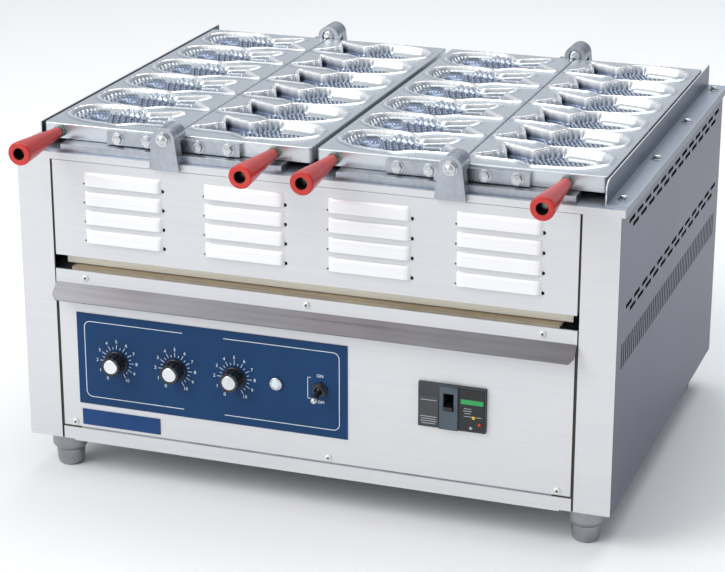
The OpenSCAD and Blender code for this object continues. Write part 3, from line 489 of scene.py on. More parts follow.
washer = turned("washer", [(0, 384.5), (5.6, 384.5), (6, 384.8), (6, 385.2), (5.6, FRAME_TOP),
    (4, FRAME_TOP)], BOLT_X, BOLT_Y[0], 0, "Z", 28)
head = hexed("head", 4.6, FRAME_TOP, 388.9, BOLT_X, BOLT_Y[0], 10, "Z")
crown = turned("crown", [(4.0, 388.8), (3.2, 389.25), (0, 389.35)], BOLT_X, BOLT_Y[0], 0, "Z", 24)
frame_bolt = joined("frame_bolt", [washer, head, crown])
pan_head = turned("pan_head", [(0, -2.2), (2.4, -2.2), (3.2, -1.7), (3.7, -0.8), (3.8, 0),
    (1.9, 0), (1.9, 4)], 0, 0, 0, "Y", 28)
for turn in (0, 90):
    tool = block("driver", (-2.1, -3, -0.42), (2.1, -1.3, 0.42))
    cut(pan_head, swung(tool, turn, "Y", spot(0, 0, 0)))
head_white = metal("pan_head_steel", "#F2F2F0", "#E4E4E2", 0.4, (300, 300, 300), 0.35, 0.03)
screws = [copied(frame_bolt, "bolt", dx, y - BOLT_Y[0], 0)
    for dx in (0, -2 * BOLT_X) for y in BOLT_Y]
screws += [copied(pan_head, "screw", x, 0, FRONT_SCREW_Z) for x in FRONT_SCREWS]
screws += [swung(copied(pan_head, "screw"), 90, "X", spot(0, 0, 0), spot(x, 12, 42.5))
    for x in UNDER_SCREWS]
screws += [swung(copied(pan_head, "screw"), 180, "Z", spot(0, 0, 0), spot(x, REAR, z))
    for x in (-BACK_SCREW_X, BACK_SCREW_X) for z in BACK_SCREW_Z]
case_screws = fit(joined("cabinet_screws", screws), "cabinet", screw_steel, "case_screws")
faced(case_screws, head_white, lambda x, y, z, n: y < 1 or z < 45)
# Painted shade in the cross recesses of the front screws.
faced(case_screws, slot_and_recess_shade,
    lambda x, y, z, n: y < 1 and near_screws(x, z, FRONT_SCREWS, FRONT_SCREW_Z))
bpy.data.objects.remove(frame_bolt)

# Inside: the zinc-plated shield and runners, the liner of the heat chamber blued by the heat, and
# three rod elements on their supports. The electric parts stand on the pan and behind the panel.
liner_steel = metal("heat_tinted_steel", "#A09684", "#857A6A", 0.5, (40, 40, 40), 0.6, 0.12, 14)
inner_steel = metal("zinc_steel", "#B0B4B8", "#8B9095", 0.4, (60, 60, 60), 0.9, 0.1, 30)
sheath = metal("heater_sheath", "#6A6460", "#423E3D", 0.5, (120, 30, 120), 0.7, 0.2, 30)
for node in ("heat_shield", "tray_runners"):
    paint(node, inner_steel)
for node in ("chamber_liner", "heater_supports"):
    paint(node, liner_steel)
paint("heaters", sheath)


def moulded(name, pale, deep, rough, grains=900, dents=0.1, coat=0.0):
    """A moulded plastic or enamel: even colour with a fine skin."""
    finish, nodes, links, shader = blank(name)
    shader.inputs["Coat Weight"].default_value = coat
    shader.inputs["Coat Roughness"].default_value = 0.12
    place = made_node(nodes, "TexCoord")
    skin = made_node(nodes, "TexNoise", Scale=grains, Detail=4)
    cloud = made_node(nodes, "TexNoise", Scale=22)
    ramp = two_tones(nodes, deep, pale, 0.35, 0.65)
    gloss = made_node(nodes, "MapRange", To_Min=rough - 0.06, To_Max=rough + 0.06)
    bump = made_node(nodes, "Bump", Strength=dents, Distance=0.0002)
    wired(links, (place, "Object", skin, "Vector"), (place, "Object", cloud, "Vector"),
        (cloud, "Fac", ramp, "Fac"), (ramp, "Color", shader, "Base Color"),
        (cloud, "Fac", gloss, "Value"), (gloss, "Result", shader, "Roughness"),
        (skin, "Fac", bump, "Height"), (bump, "Normal", shader, "Normal"))
    return finish


cream = moulded("cream_plastic", "#E6E1D2", "#D8D2C0", 0.45)
dark_case = moulded("dark_case_plastic", "#34373B", "#2A2D30", 0.5)
paint("heat_regulators", cream)
paint("terminal_block", cream)
paint("contactor", dark_case)

# Crumb tray: a shallow tray of thin sheet that slides out on the runners. Its front strip ends in
# a lip, flared forward as a handle, with its corners cut off; three pan-head screws hold it.
TRAY_SCREWS, TRAY_SCREW_Z = (-262, 0, 262), 241
paint("crumb_tray", liner_steel)
# Painted shade: the lip, flared down and forward, takes a darker copy of the strip's steel.
shaded_lip_steel = metal("tray_lip_shaded", "#86858A", "#757479", 0.3, (5, 300, 300), 0.85, 0.02, 4, 0.03)
hem_steel = metal("tray_hem", "#B5A48E", "#9C8A72", 0.5, (6, 200, 200), 0.2, 0.05, 6, 0.05)
# The strip takes the bright front copy of the stainless: painted light.
strip = kept("tray_front", "tray_handle_strip", 0.4, "tray", lit_front_steel)
# Painted shade on the lip's faces.
faced(strip, shaded_lip_steel, lambda x, y, z, n: y < -0.9 or z < 233)
hem = eased(block("tray_hem", (-280, 2.4, 250.9), (280, 15.8, 251.6)), 0.15)
fit(hem, "tray", hem_steel)
screws = [copied(pan_head, "screw", x, -0.4, TRAY_SCREW_Z) for x in TRAY_SCREWS]
strip_screws = joined("tray_strip_screws", screws)
fit(strip_screws, "tray", head_white, "tray_screws")
# Painted shade in the cross recesses of the tray screws.
faced(strip_screws, slot_and_recess_shade, lambda x, y, z, n: near_screws(x, z, TRAY_SCREWS, TRAY_SCREW_Z))
bpy.data.objects.remove(pan_head)

# Hinge posts: two flat steel plates at the front and two at the rear, welded to the frame, with a
# bar on the frame behind each for the plates to rest on. A shouldered pin goes through each head.
PAIR_X, HINGE_Z = 160.6, 411.1
post_steel = metal("plated_steel", "#B9BEC5", "#9CA2AA", 0.34, (160, 90, 90), 0.95, 0.08, 18)
kept("hinge_posts", "hinge_posts_plate", 0.7, "cabinet", post_steel, 3)
kept("support_bars", "plate_rest_bars", 0.7, "cabinet", post_steel)


def turned_back(piece):
    """The same piece at the rear: mirrored about the middle of the top frame."""
    piece.data.transform(Matrix.Translation(spot(0, REAR, 0) + spot(0, 0, 0))
        @ Matrix.Diagonal((1, -1, 1, 1)))
    return smoothed(outward(piece))


pins = []
for x in (-PAIR_X, PAIR_X):
    pins.append(turned("washer", [(0, -7.2), (8.0, -7.2), (8.4, -6.8), (8.4, -6), (0, -6)],
        x, 0, HINGE_Z))
    pins.append(hexed("nut", 7.4, -10.4, -7.1, x, HINGE_Z, 12))
    pins.append(turned("dome", [(0, -12.2), (1.6, -12.0), (3.6, -11.3), (5, -10.2), (0, -10.2)],
        x, 0, HINGE_Z))
    pins.append(turned("pin", [(0, -6), (5, -6), (5, 22.9), (7.5, 22.9), (7.5, 23.4), (6.6, 24.6),
        (5.2, 25.1), (0, 25.1)], x, 0, HINGE_Z))
rear_pins = [turned_back(copied(piece, "rear_" + piece.name)) for piece in pins]
fit(joined("hinge_pin_set", pins + rear_pins), "cabinet", screw_steel, "hinge_pins")

# Mould plates: aluminium castings, 17.5 mm thick, with six fish each. The left plate of a pair has
# the fish's face side, shallow with scales and fins; the right one is deep with ribbed walls. The
# relief is worked out point by point, because no chain of edit steps gives a cast fish.
# The relief's colour carries painted blue-grey shade, painted shade in its hollows and a painted
# highlight on its rim crests.
PLATE_BACK, PLATE_THICK = 475, 17.5
PLATE_FRONT, PLATE_TOP = 25.5, 408.8
FISH_PITCH, FISH_FIRST, FISH_ROWS = 75.2, 12.5, 6
SNOUT = 146.4
GRID = 1.0
LOW_V = -0.6
FRONT_MARGIN, BACK_MARGIN = 8.3, 7.7
SIDE_IN, SIDE_OUT, END_IN, EDGE_R = 2.1, 155.9, 1.6, 2.5
EDGE_STEPS = ((0.55, 0.1), (1.05, 0.42), (1.4, 0.9), (1.5, 1.5), (1.5, 16.6), (1.2, 17.3),
    (0.7, PLATE_THICK))
POCKET_X, POCKET_Y, POCKET_DEEP = (14, 143.4), (4, 70), 2.5
DEEPEST = 10.6
FISH = [
    (0, 36), (1, 48), (3, 56.5), (13, 66), (28, 70.5), (44, 73), (56, 74), (65, 72), (72, 66.5),
    (78, 58), (85, 53), (93, 57), (104, 62), (113, 66), (120, 69), (118, 60), (114, 51),
    (113, 45.5), (118, 39.5), (128, 29), (136.5, 21.5), (138, 16.5), (130, 14.5), (115, 14),
    (100, 12.8), (89, 11.2), (81, 6.5), (74, 1.5), (69, 0), (55, 2.5), (37, 5), (21, 10), (8, 20),
    (2, 28)
]
cast_ring = []
for i in range(len(FISH)):
    p0, p1, p2, p3 = (np.array(FISH[(i + k) % len(FISH)], float) for k in (-1, 0, 1, 2))
    for t in np.linspace(0, 1, 5, endpoint=False):
        cast_ring.append(0.5 * (2 * p1 + (p2 - p0) * t + (2 * p0 - 5 * p1 + 4 * p2 - p3) * t ** 2
            + (3 * p1 - p0 - 3 * p2 + p3) * t ** 3))
cast_ring = np.array(cast_ring)


def from_edge(p):
    """How far inside the fish each point lies, and how far round its nearest outline point is."""
    a, b = cast_ring, np.roll(cast_ring, -1, 0)
    e = b - a
    long = np.linalg.norm(e, axis=1)
    start = np.concatenate([[0], np.cumsum(long)[:-1]])
    w = p[:, None, :] - a[None]
    t = np.clip((w * e).sum(2) / (long ** 2), 0, 1)
    gap = np.linalg.norm(w - t[..., None] * e, axis=2)
    near = gap.argmin(1)
    rows = np.arange(len(p))
    crossed = ((a[:, 1] > p[:, None, 1]) != (b[:, 1] > p[:, None, 1])) & (
        p[:, None, 0] < e[:, 0] * (p[:, None, 1] - a[:, 1]) / (e[:, 1] + 1e-12) + a[:, 0])
    inside = crossed.sum(1) % 2 == 1
    return np.where(inside, 1, -1) * gap[rows, near], start[near] + t[rows, near] * long[near]


def ease(a, b, x):
    """A soft step from 0 at a to 1 at b."""
    t = np.clip((x - a) / (b - a), 0, 1)
    return t * t * (3 - 2 * t)


def bowl(d, width):
    """A quarter round from 0 at the edge to 1 at its width."""
    return np.sqrt(np.clip(1 - (1 - np.clip(d / width, 0, 1)) ** 2, 0, 1))


def bump(x, width):
    """A soft ridge about 0."""
    return np.exp(-(x / width) ** 2)


def rim_height(d):
    """The raised rim round a fish, at a distance inside its outline."""
    crest = 2.0 * np.where(d < -1.7, bump(d + 1.7, 2.1), bump(d + 1.7, 1.1))
    return np.maximum(crest, 0.5 * ease(-8, -2.5, d) * ease(0.6, -1.0, d))


def face_relief(u, v, d, s):
    """Left plates: a shallow fish with a sunk cheek, scales, a back fin and two tail channels.

    u and v are across and along the plate and d is the distance inside the outline; s, the way
    round it, is not used here. Gives the height, the painted shade in the hollows and the painted
    blue-grey shade, as back_relief does.
    """
    w = u + 0.4 * (v - 35)
    shoulder = 3.2 * bowl(d, 3.6)
    cheek = ease(6.0, 7.2, d) * ease(45, 43.6, w) * ease(11, 13, u)
    body = ease(4.2, 6, d) * ease(44, 46, w) * ease(93, 90, w) * ease(56, 53, v + 0.12 * (u - 60))
    depth = shoulder + 3.0 * cheek + 1.2 * body
    snout = ease(1.6, 3.2, d) * ease(20, 16, u)
    stroke = 0.5 + 0.5 * np.sin((u + 0.55 * v) * 1.25)
    depth = depth + snout * (0.4 + 1.5 * stroke) * (1 - cheek)
    oval = np.hypot((u - 30) / 9.5, (v - 43) / 7.5)
    depth = depth - cheek * (1.7 * bump(oval - 1, 0.2) + 1.2 * bump(oval, 0.45))
    depth = depth + cheek * 0.6 * np.sin(u * 1.5) * ease(1, 0.7, oval)
    column = np.floor((w - 45.5) / 7.4)
    fu = (w - 45.5) / 7.4 - column - 0.5
    fv = (v + 4.5 * (column % 2)) / 9.0 % 1 - 0.5
    pit = bump(np.hypot((fu + 0.22 * fv) / 0.42, fv / 0.42) ** 2, 1)
    lip = bump(fu + 0.42, 0.12)
    depth = depth + body * (2.2 * pit - 0.9 * lip)
    fin = ease(46, 50, u) * ease(84, 80, u) * ease(52, 57, v + 0.12 * (u - 60)) * ease(0.6, 2.4, d)
    ray = 0.5 + 0.5 * np.sin((u + 0.5 * v) * 1.05)
    depth = depth - fin * (1.2 + 1.5 * ray)
    low = ease(52, 56, u) * ease(90, 85, u) * ease(12, 8, v) * ease(0.4, 1.6, d)
    depth = depth - low * (0.8 + 0.9 * np.sin((u - 0.5 * v) * 1.4))
    stem = ease(88, 92, u)
    middle = 42 + (u - 86) * 0.14
    channel = stem * ease(1.2, 2.6, np.abs(v - middle)) * ease(3.4, 5.0, d)
    depth = depth + 3.6 * channel
    ends = stem * ease(111, 116, u) * ease(1.5, 3, d)
    depth = depth + ends * (0.9 + 0.9 * np.sin((u + 0.9 * v) * 1.1))
    line = bump(d - 6.4, 0.9) * ease(46, 43, w) * ease(9, 12, u)
    # Painted shade: the scale pits, the cheek line, the snout strokes, the sides of the channels
    # and the tail ends are darkened where shade falls in them.
    recess_shade = np.maximum.reduce([pit * body, 0.95 * line * (v > 38),
        0.8 * line * (v < 32) * ease(16, 22, u), 0.85 * snout * ease(0.45, 0.8, stroke),
        0.75 * channel * bump(v - middle + 3.0, 1.6), 0.6 * channel * bump(v - middle - 3.0, 1.4),
        0.55 * cheek * bump(oval - 1.25, 0.14),
        0.5 * ends * ease(0.4, 0.9, np.sin((u + 0.9 * v) * 1.1))])
    # Painted shade: a blue-grey tone in the channels, the fin hollows, the cheek and the body.
    blue = np.maximum.reduce([0.9 * channel, 0.9 * fin * ease(0.5, 0.15, ray), 0.8 * cheek,
        0.75 * body])
    return -depth, recess_shade, blue


def back_relief(u, v, d, s):
    """Right plates: a deep fish with fluted walls along the fins and tail and a cobbled floor."""
    head = ease(58, 50, u)
    wall = 2.4 + 8.5 * head * ease(0, 30, v) + 2.5 * ease(24, 10, v)
    fluted = (ease(54, 57, u) * ease(86, 83, u) * ease(34, 40, v)
        + ease(112, 114, u) * ease(48, 44, v))
    flute = 0.5 + 0.5 * np.cos(s * 2 * np.pi / 6.6)
    depth = 10.4 * bowl(np.maximum(d - 1.5 * fluted * flute, 0), wall)
    row = np.floor(v / 5.4)
    fu = ((u + 2.6 * (row % 2)) / 5.2) % 1 - 0.5
    fv = v / 5.4 % 1 - 0.5
    floor_share = ease(wall + 0.5, wall + 2.5, d) * ease(20, 26, u) * ease(96, 90, u)
    knob = np.clip(1 - (np.hypot(fu, fv) / 0.52) ** 2, 0, 1)
    depth = depth - 2.6 * floor_share * np.sqrt(knob)
    eye = np.hypot(u - 21, v - 45)
    within = ease(3, 6, d)
    depth = depth - 1.8 * bump(eye - 4.2, 1.0) * within - 1.2 * bump(eye, 1.4) * within
    mouth = bump(v - 36 - 0.25 * u, 1.6) * ease(5, 9, u) * ease(28, 22, u)
    depth = depth + 0.9 * mouth * within
    deep = ease(111, 113.5, u) * ease(47, 50, v) * ease(6, 3, d)
    # Painted shade: darker between the floor's knobs, in the deep notch, in the flute hollows, in
    # the mouth and towards the tail.
    recess_shade = np.maximum.reduce([floor_share * ease(0.6, 0.25, knob), 0.9 * deep * ease(0.3, 1.2, d),
        0.6 * fluted * ease(0.35, 0.1, flute) * ease(0.3, 1.2, d) * ease(5, 3, d),
        0.9 * mouth * within, 0.35 * ease(96, 100, u) * ease(2, 3.4, d)])
    # Painted shade: a blue-grey tone on the stem wall, the flute hollows, the floor and the tail.
    stem = ease(84, 87, u) * ease(46, 50, v)
    blue = np.maximum.reduce([0.9 * stem * ease(0.2, 0.9, d), fluted * ease(0.62, 0.3, flute),
        0.5 * floor_share, 0.6 * ease(90, 98, u) * ease(1, 2.4, d)])
    return -depth, recess_shade, blue


HIGH_V = LOW_V + FISH_PITCH
u_in, u_out = SNOUT - SIDE_OUT, SNOUT - SIDE_IN
side_u = np.linspace(u_in, u_out, 150)


def meshed(v0, v1, loops):
    """Points and faces of a strip of the plate, from v0 to v1, close only round the fish."""
    grid_u, grid_v = np.meshgrid(np.arange(u_in + 1, u_out - 0.4, GRID),
        np.arange(v0 + 1, v1 - 0.4, GRID))
    field = np.column_stack([grid_u.ravel(), grid_v.ravel()])
    near = np.maximum.reduce([from_edge(field - (0, k * FISH_PITCH))[0] for k in (-1, 0, 1)])
    own = from_edge(field)[0]
    keep = near > -9
    for loop in loops:
        keep &= np.abs(own - loop) > 0.55
    side_v = np.linspace(v0, v1, max(3, int((v1 - v0) / 4)))
    rim = ([(u, v0) for u in side_u] + [(u_out, v) for v in side_v[1:]]
        + [(u, v1) for u in side_u[::-1][1:]] + [(u_in, v) for v in side_v[::-1][1:-1]])
    points = [Vector(p) for p in rim]
    lines = [(i, (i + 1) % len(rim)) for i in range(len(rim))]
    if loops:
        lines += [(len(rim) + i, len(rim) + (i + 1) % len(cast_ring))
            for i in range(len(cast_ring))]
        points += [Vector(p) for p in cast_ring]
    made = delaunay_2d_cdt(points + [Vector(p) for p in field[keep]], lines, [], 1, 1e-6)
    return np.array([tuple(p) for p in made[0]]), [tuple(f) for f in made[2]]


strips = [(meshed(LOW_V, HIGH_V, (0.0,)), range(FISH_ROWS)),
    (meshed(-FRONT_MARGIN, LOW_V, ()), (0,)),
    (meshed(HIGH_V, HIGH_V + BACK_MARGIN, ()), (FISH_ROWS - 1,))]
casts = {"face": [], "back": []}
for (cell, faces), rows in strips:
    edge_d, edge_s = from_edge(cell)
    u, v = cell[:, 0], cell[:, 1]
    calm = ease(0, 2.2, np.minimum(u - u_in, u_out - u))
    for row in rows:
        beside = np.maximum.reduce([from_edge(cell - (0, k * FISH_PITCH))[0] for k in (-1, 1)
            if 0 <= row + k < FISH_ROWS])
        rim = np.maximum(rim_height(edge_d),
            rim_height(beside) * ease(0.8, -0.4, edge_d)) * calm
        outer = np.maximum(edge_d, beside)
        # Painted highlight: the rim crests are made white, partly for their polish from wear and
        # partly as a painted highlight.
        shine = bump(np.minimum(outer + 1.9, 0), 1.6) * ease(0.9, -0.2, edge_d) * calm
        for kind, relief in (("face", face_relief), ("back", back_relief)):
            z, recess_shade, blue = relief(u, v, np.maximum(edge_d, 0), edge_s)
            hollow = ease(0.0, 0.3, edge_d)
            z = np.maximum(z, -DEEPEST) * (edge_d > 0) + rim
            # Painted shadow: a soft blue-grey band round the outside of every rim.
            rim_shadow = 0.3 * ease(-9, -4, outer) * ease(-3, -4.5, outer)
            painted_shading = recess_shade * hollow, np.maximum(blue * hollow, rim_shadow), shine
            casts[kind].append((row, cell, faces, z, painted_shading))


def cast_top(bm, kind):
    """The top of a plate: a strip for each fish, and the flat margins at both ends."""
    marks = [bm.verts.layers.float.new(mark) for mark in ("recess_shade", "blue", "bright")]
    for row, cell, faces, z, painted_shading in casts[kind]:
        start = FISH_FIRST + row * FISH_PITCH
        made = []
        for i in range(len(cell)):
            new = bm.verts.new((SNOUT - cell[i, 0], start + cell[i, 1], z[i]))
            for layer, tint in zip(marks, painted_shading):
                new[layer] = float(tint[i])
            made.append(new)
        for face in faces:
            bm.faces.new([made[i] for i in face])
    bmesh.ops.remove_doubles(bm, verts=bm.verts, dist=0.002)
    last = FISH_FIRST + FISH_ROWS * FISH_PITCH + LOW_V + BACK_MARGIN
    for y_in, y_rim, sign in ((FISH_FIRST - FRONT_MARGIN, END_IN, 1),
            (last, PLATE_BACK - END_IN, -1)):
        lip = sorted([w for w in bm.verts if abs(w.co.y - y_in) < 0.01], key=lambda w: w.co.x)
        arc = [(SIDE_OUT - EDGE_R + EDGE_R * math.cos(a),
            y_rim + sign * (EDGE_R - EDGE_R * math.sin(a)))
            for a in np.linspace(0, math.pi / 2, 5)]
        arc += [(SIDE_IN + SIDE_OUT - x, y) for x, y in arc[::-1]]
        bm.faces.new(lip + [bm.verts.new((x, y, 0)) for x, y in arc])


def cast_sides(bm):
    """The sides, drawn down from the open edge of the top with rounded corners; gives their end."""
    ring = [e for e in bm.edges if len(e.link_faces) == 1]
    inner = ((SIDE_IN + EDGE_R, SIDE_OUT - EDGE_R), (END_IN + EDGE_R, PLATE_BACK - END_IN - EDGE_R))
    done = 0.0, 0.0
    for out, drop in EDGE_STEPS:
        grown = bmesh.ops.extrude_edge_only(bm, edges=ring)["geom"]
        for w in [g for g in grown if isinstance(g, bmesh.types.BMVert)]:
            near = Vector((min(max(w.co.x, inner[0][0]), inner[0][1]),
                min(max(w.co.y, inner[1][0]), inner[1][1]), 0))
            away = Vector((w.co.x, w.co.y, 0)) - near
            w.co += away.normalized() * (out - done[0])
            w.co.z -= drop - done[1]
        ring = [g for g in grown if isinstance(g, bmesh.types.BMEdge) and len(g.link_faces) == 1]
        done = out, drop
    return ring


def cast_base(bm, ring):
    """The underside, with a shallow pocket under each fish."""
    edge, loop = ring[0], [ring[0].verts[0]]
    ring = set(ring)
    while True:
        w = edge.other_vert(loop[-1])
        if w is loop[0]:
            break
        loop.append(w)
        edge = next(e for e in w.link_edges if e in ring and e is not edge)
    flat = [Vector(w.co.xy) for w in loop]
    edges = [(i, (i + 1) % len(flat)) for i in range(len(flat))]
    (left, right), (near, far) = POCKET_X, POCKET_Y
    for row in range(FISH_ROWS):
        y = FISH_FIRST + row * FISH_PITCH + near
        first, long = len(flat), far - near
        flat += [Vector(p) for p in ((left, y), (right, y), (right, y + long), (left, y + long))]
        edges += [(first + i, first + (i + 1) % 4) for i in range(4)]
    below = delaunay_2d_cdt(flat, edges, [], 1, 1e-6)
    base = [loop[i] if i < len(loop) else bm.verts.new((p[0], p[1], -PLATE_THICK))
        for i, p in enumerate(below[0])]
    for face in below[2]:
        bm.faces.new([base[i] for i in face])
    hollow = [f for f in bm.faces if all(abs(w.co.z + PLATE_THICK) < 0.01 for w in f.verts)
        and left < f.calc_center_median().x < right
        and near < (f.calc_center_median().y - FISH_FIRST) % FISH_PITCH < far]
    for w in bmesh.ops.extrude_face_region(bm, geom=hollow)["geom"]:
        if isinstance(w, bmesh.types.BMVert):
            w.co.z += POCKET_DEEP
    bmesh.ops.delete(bm, geom=hollow, context="FACES")


def cast_plate(name, kind, hinge, way):
    """One mould plate, on the given side of its hinge."""
    bm = bmesh.new()
    cast_top(bm, kind)
    cast_base(bm, cast_sides(bm))
    for w in bm.verts:
        w.co = spot(hinge + way * w.co.x, PLATE_FRONT + w.co.y, PLATE_TOP + w.co.z)
    bmesh.ops.recalc_face_normals(bm, faces=bm.faces)
    mesh = bpy.data.meshes.new(name)
    bm.to_mesh(mesh)
    bm.free()
    piece = bpy.data.objects.new(name, mesh)
    bpy.context.scene.collection.objects.link(piece)
    return smoothed(piece, 50)


cast_metal = metal("cast_aluminium", "#CFD5D9", "#CAD1D6", 0.27, (22, 22, 22), 0.72, 0.01, 5, 0.01)
nodes, links = cast_metal.node_tree.nodes, cast_metal.node_tree.links
shader = nodes["Principled BSDF"]
ground = shader.inputs["Base Color"].links[0].from_socket
# Painted shade and highlight laid over the cast metal's colour: blue-grey shade, white on the rim
# crests and near black shade in the hollows.
PAINTED_SHADING_TONES = (("blue", "#7287AA", 0.9), ("bright", "#FFFFFF", 0.95), ("recess_shade", "#1B2232", 0.95))
for layer, colour, share in PAINTED_SHADING_TONES:
    read = made_node(nodes, "Attribute")
    read.attribute_name = layer
    much = made_node(nodes, "Math")
    much.operation = "MULTIPLY"
    much.inputs[1].default_value = share
    over = made_node(nodes, "Mix")
    over.data_type = "RGBA"
    over.inputs["B"].default_value = tone(colour)
    wired(links, (read, "Fac", much, 0), (much, 0, over, "Factor"))
    links.new(ground, over.inputs["A"])
    ground = over.outputs["Result"]
links.new(ground, shader.inputs["Base Color"])
for i in (1, 2, 3, 4):
    hinge = -PAIR_X if i < 3 else PAIR_X
    kind, way = ("face", -1) if i % 2 else ("back", 1)
    fit(cast_plate("fish_mould_%d" % i, kind, hinge, way), "plate_%d" % i, cast_metal,
        "mould_plate_%d" % i)

# Hinge arms: flat steel bars, each held on the end of its plate by two hexagon bolts with washers.
# The left-hand arms step forward to their knuckle, so the two arms of a pair share one pin.
ARM_BOLTS, ARM_Z = ((30, 8), (65, 25)), 399.1
for i in (1, 2, 3, 4):
    arms = from_node("hinge_arms_%d" % i, "arm_bars_%d" % i, 0.6, 2)
    bolts = []
    for out, turn in ARM_BOLTS:
        x = (-PAIR_X if i < 3 else PAIR_X) + (-out if i % 2 else out)
        for rear in (False, True):
            washer = turned("washer", [(0, 17.6), (6.8, 17.6), (7.2, 17.9), (7.2, 18.5), (0, 18.5)],
                x, 0, ARM_Z, "Y", 28)
            head = hexed("head", 5.5, 13.9, 17.7, x, ARM_Z, turn)
            crown = turned("crown", [(0, 13.55), (3.6, 13.7), (4.7, 14.1), (0, 14.1)],
                x, 0, ARM_Z, "Y", 24)
            bolt = joined("bolt", [washer, head, crown])
            bolts.append(turned_back(bolt) if rear else bolt)
    fit(arms, "plate_%d" % i, post_steel, "hinge_arms_%d" % i)
    fit(joined("arm_bolts_%d" % i, bolts), "plate_%d" % i, screw_steel)

# Handles: a steel rod screwed into the end of each plate, locked by a hexagon nut, carries a
# turned grip of red phenolic resin, slender at the plate and thick at its bored free end.
GRIP_X, ROD_Z = (-298.1, -44.6, 23.1, 276.6), 400.05
GRIP = [
    (4.1, 18.4), (5.2, 18.4), (5.9, 17.8), (6.15, 16.2), (6.7, 8), (7.6, -4), (9.3, -24),
    (10.9, -42), (11.9, -54), (12.5, -62), (12.9, -69), (13.0, -71.2), (12.75, -72.4),
    (12.1, -73.2), (11.2, -73.5), (7.6, -73.5), (6.6, -73.2), (6.1, -72.3), (6, -61.6),
    (4.1, -61.5), (4.1, 18.4)
]
grip_resin = moulded("red_phenolic", "#CE2E22", "#BC2219", 0.34, 600, 0.05, 0.25)
lock_steel = metal("greenish_plating", "#8C9A8D", "#66756A", 0.3, (200, 200, 200), 1.0, 0.08)
# Painted shade: the bore of each grip is made near black inside, where no light reaches.
bore_shade = moulded("grip_bore", "#140807", "#0C0404", 0.7)
for i, x in enumerate(GRIP_X, 1):
    grip = turned("red_grip_%d" % i, GRIP, x, 0, ROD_Z, "Y", 64)
    fit(grip, "plate_%d" % i, grip_resin, "grip_%d" % i)
    faced(grip, bore_shade,
        lambda gx, gy, gz, n: gy < -55 and math.hypot(gx - x, gz - ROD_Z) < 6.5)
    rod = turned("rod", [(0, -61.0), (3.4, -61.0), (4, -60.4), (4, 32), (3.4, 34.5), (0, 34.5)],
        x, 0, ROD_Z, "Y", 28)
    nut = hexed("lock_nut", 7, 19.4, 25.4, x, ROD_Z, 14)
    collar = turned("collar", [(0, 18.5), (6.2, 18.5), (6.7, 19), (6.7, 19.6), (0, 19.6)],
        x, 0, ROD_Z)
    fit(joined("grip_rod_%d" % i, [rod, nut, collar]), "plate_%d" % i, lock_steel,
        "handle_rod_%d" % i)

# Control plate: a sheet with a blue screen-printed face, glued to the panel, and a bare blue badge
# below it. The white print is a rounded line, the marks and figures of three dials, and ON and OFF.
BLUE_LEFT, BLUE_RIGHT, BLUE_LOW, BLUE_TOP = -275.5, 46.5, 90.6, 199.6
FRAME_IN, LINE_WIDE, LINE_GAP = 18, 0.75, (-147, -98)
DIALS, DIAL_Z = (-227.5, -156.5, -85.5), 145.6
FIRST_TURN = -150
LAMP_X, SWITCH_X = -36, 15
print_blue = moulded("printed_blue", "#1B3F69", "#193B63", 0.5, 500, 0.02)
print_white = moulded("printed_white", "#E9EDF2", "#DDE3EA", 0.5, 700, 0.02)
badge_blue = moulded("badge_blue", "#1E447A", "#1B3F70", 0.45, 500, 0.03)
for finish, shine in ((print_blue, 0.16), (badge_blue, 0.2)):
    finish.node_tree.nodes["Principled BSDF"].inputs["Specular IOR Level"].default_value = shine
kept("control_plate", "blue_control_plate", 0.25, "cabinet", print_blue)
kept("badge_plate", "blank_badge", 0.3, "cabinet", badge_blue)


def mark(x, z, wide, high, turn=0, y=-1.0):
    """A printed bar lying on the plate."""
    bpy.ops.mesh.primitive_cube_add(size=1, location=spot(x, y, z),
        rotation=(0, math.radians(turn), 0))
    piece = bpy.context.object
    piece.scale = (wide * 0.001, 0.00012, high * 0.001)
    return settled(piece)


def figure(words, x, z, size, y=-1.0):
    """Plain printed figures, middled on their place."""
    bpy.ops.object.text_add(location=(0, 0, 0), rotation=(math.pi / 2, 0, 0))
    piece = bpy.context.object
    piece.data.body = words
    piece.data.align_x = "CENTER"
    piece.data.align_y = "CENTER"
    piece.data.size = size * 0.001
    piece.data.extrude = 0.00006
    piece.location = spot(x, y, z)
    bpy.ops.object.convert(target="MESH")
    return settled(bpy.context.object)


bpy.ops.mesh.primitive_plane_add(size=1, rotation=(math.pi / 2, 0, 0),
    location=spot((BLUE_LEFT + BLUE_RIGHT) / 2, -1.04, (BLUE_LOW + BLUE_TOP) / 2))
line = bpy.context.object
line.scale = ((BLUE_RIGHT - BLUE_LEFT - FRAME_IN) * 0.001,
    (BLUE_TOP - BLUE_LOW - FRAME_IN) * 0.001, 1)
opened(settled(line))
bpy.ops.mesh.bevel(offset=0.0075, segments=8, affect="VERTICES")
bpy.ops.mesh.select_all(action="SELECT")
bpy.ops.mesh.inset(thickness=LINE_WIDE * 0.001, depth=0)
bpy.ops.mesh.delete(type="FACE")
for x in LINE_GAP:
    bpy.ops.mesh.select_all(action="SELECT")
    bpy.ops.mesh.bisect(plane_co=spot(x, 0, 0), plane_no=(1, 0, 0))
bpy.ops.object.mode_set(mode="OBJECT")
for face in line.data.polygons:
    face.select = LINE_GAP[0] * 0.001 < face.center.x < LINE_GAP[1] * 0.001
bpy.ops.object.mode_set(mode="EDIT")
bpy.ops.mesh.select_mode(type="FACE")
bpy.ops.mesh.delete(type="FACE")
bpy.ops.object.mode_set(mode="OBJECT")
prints = [line]
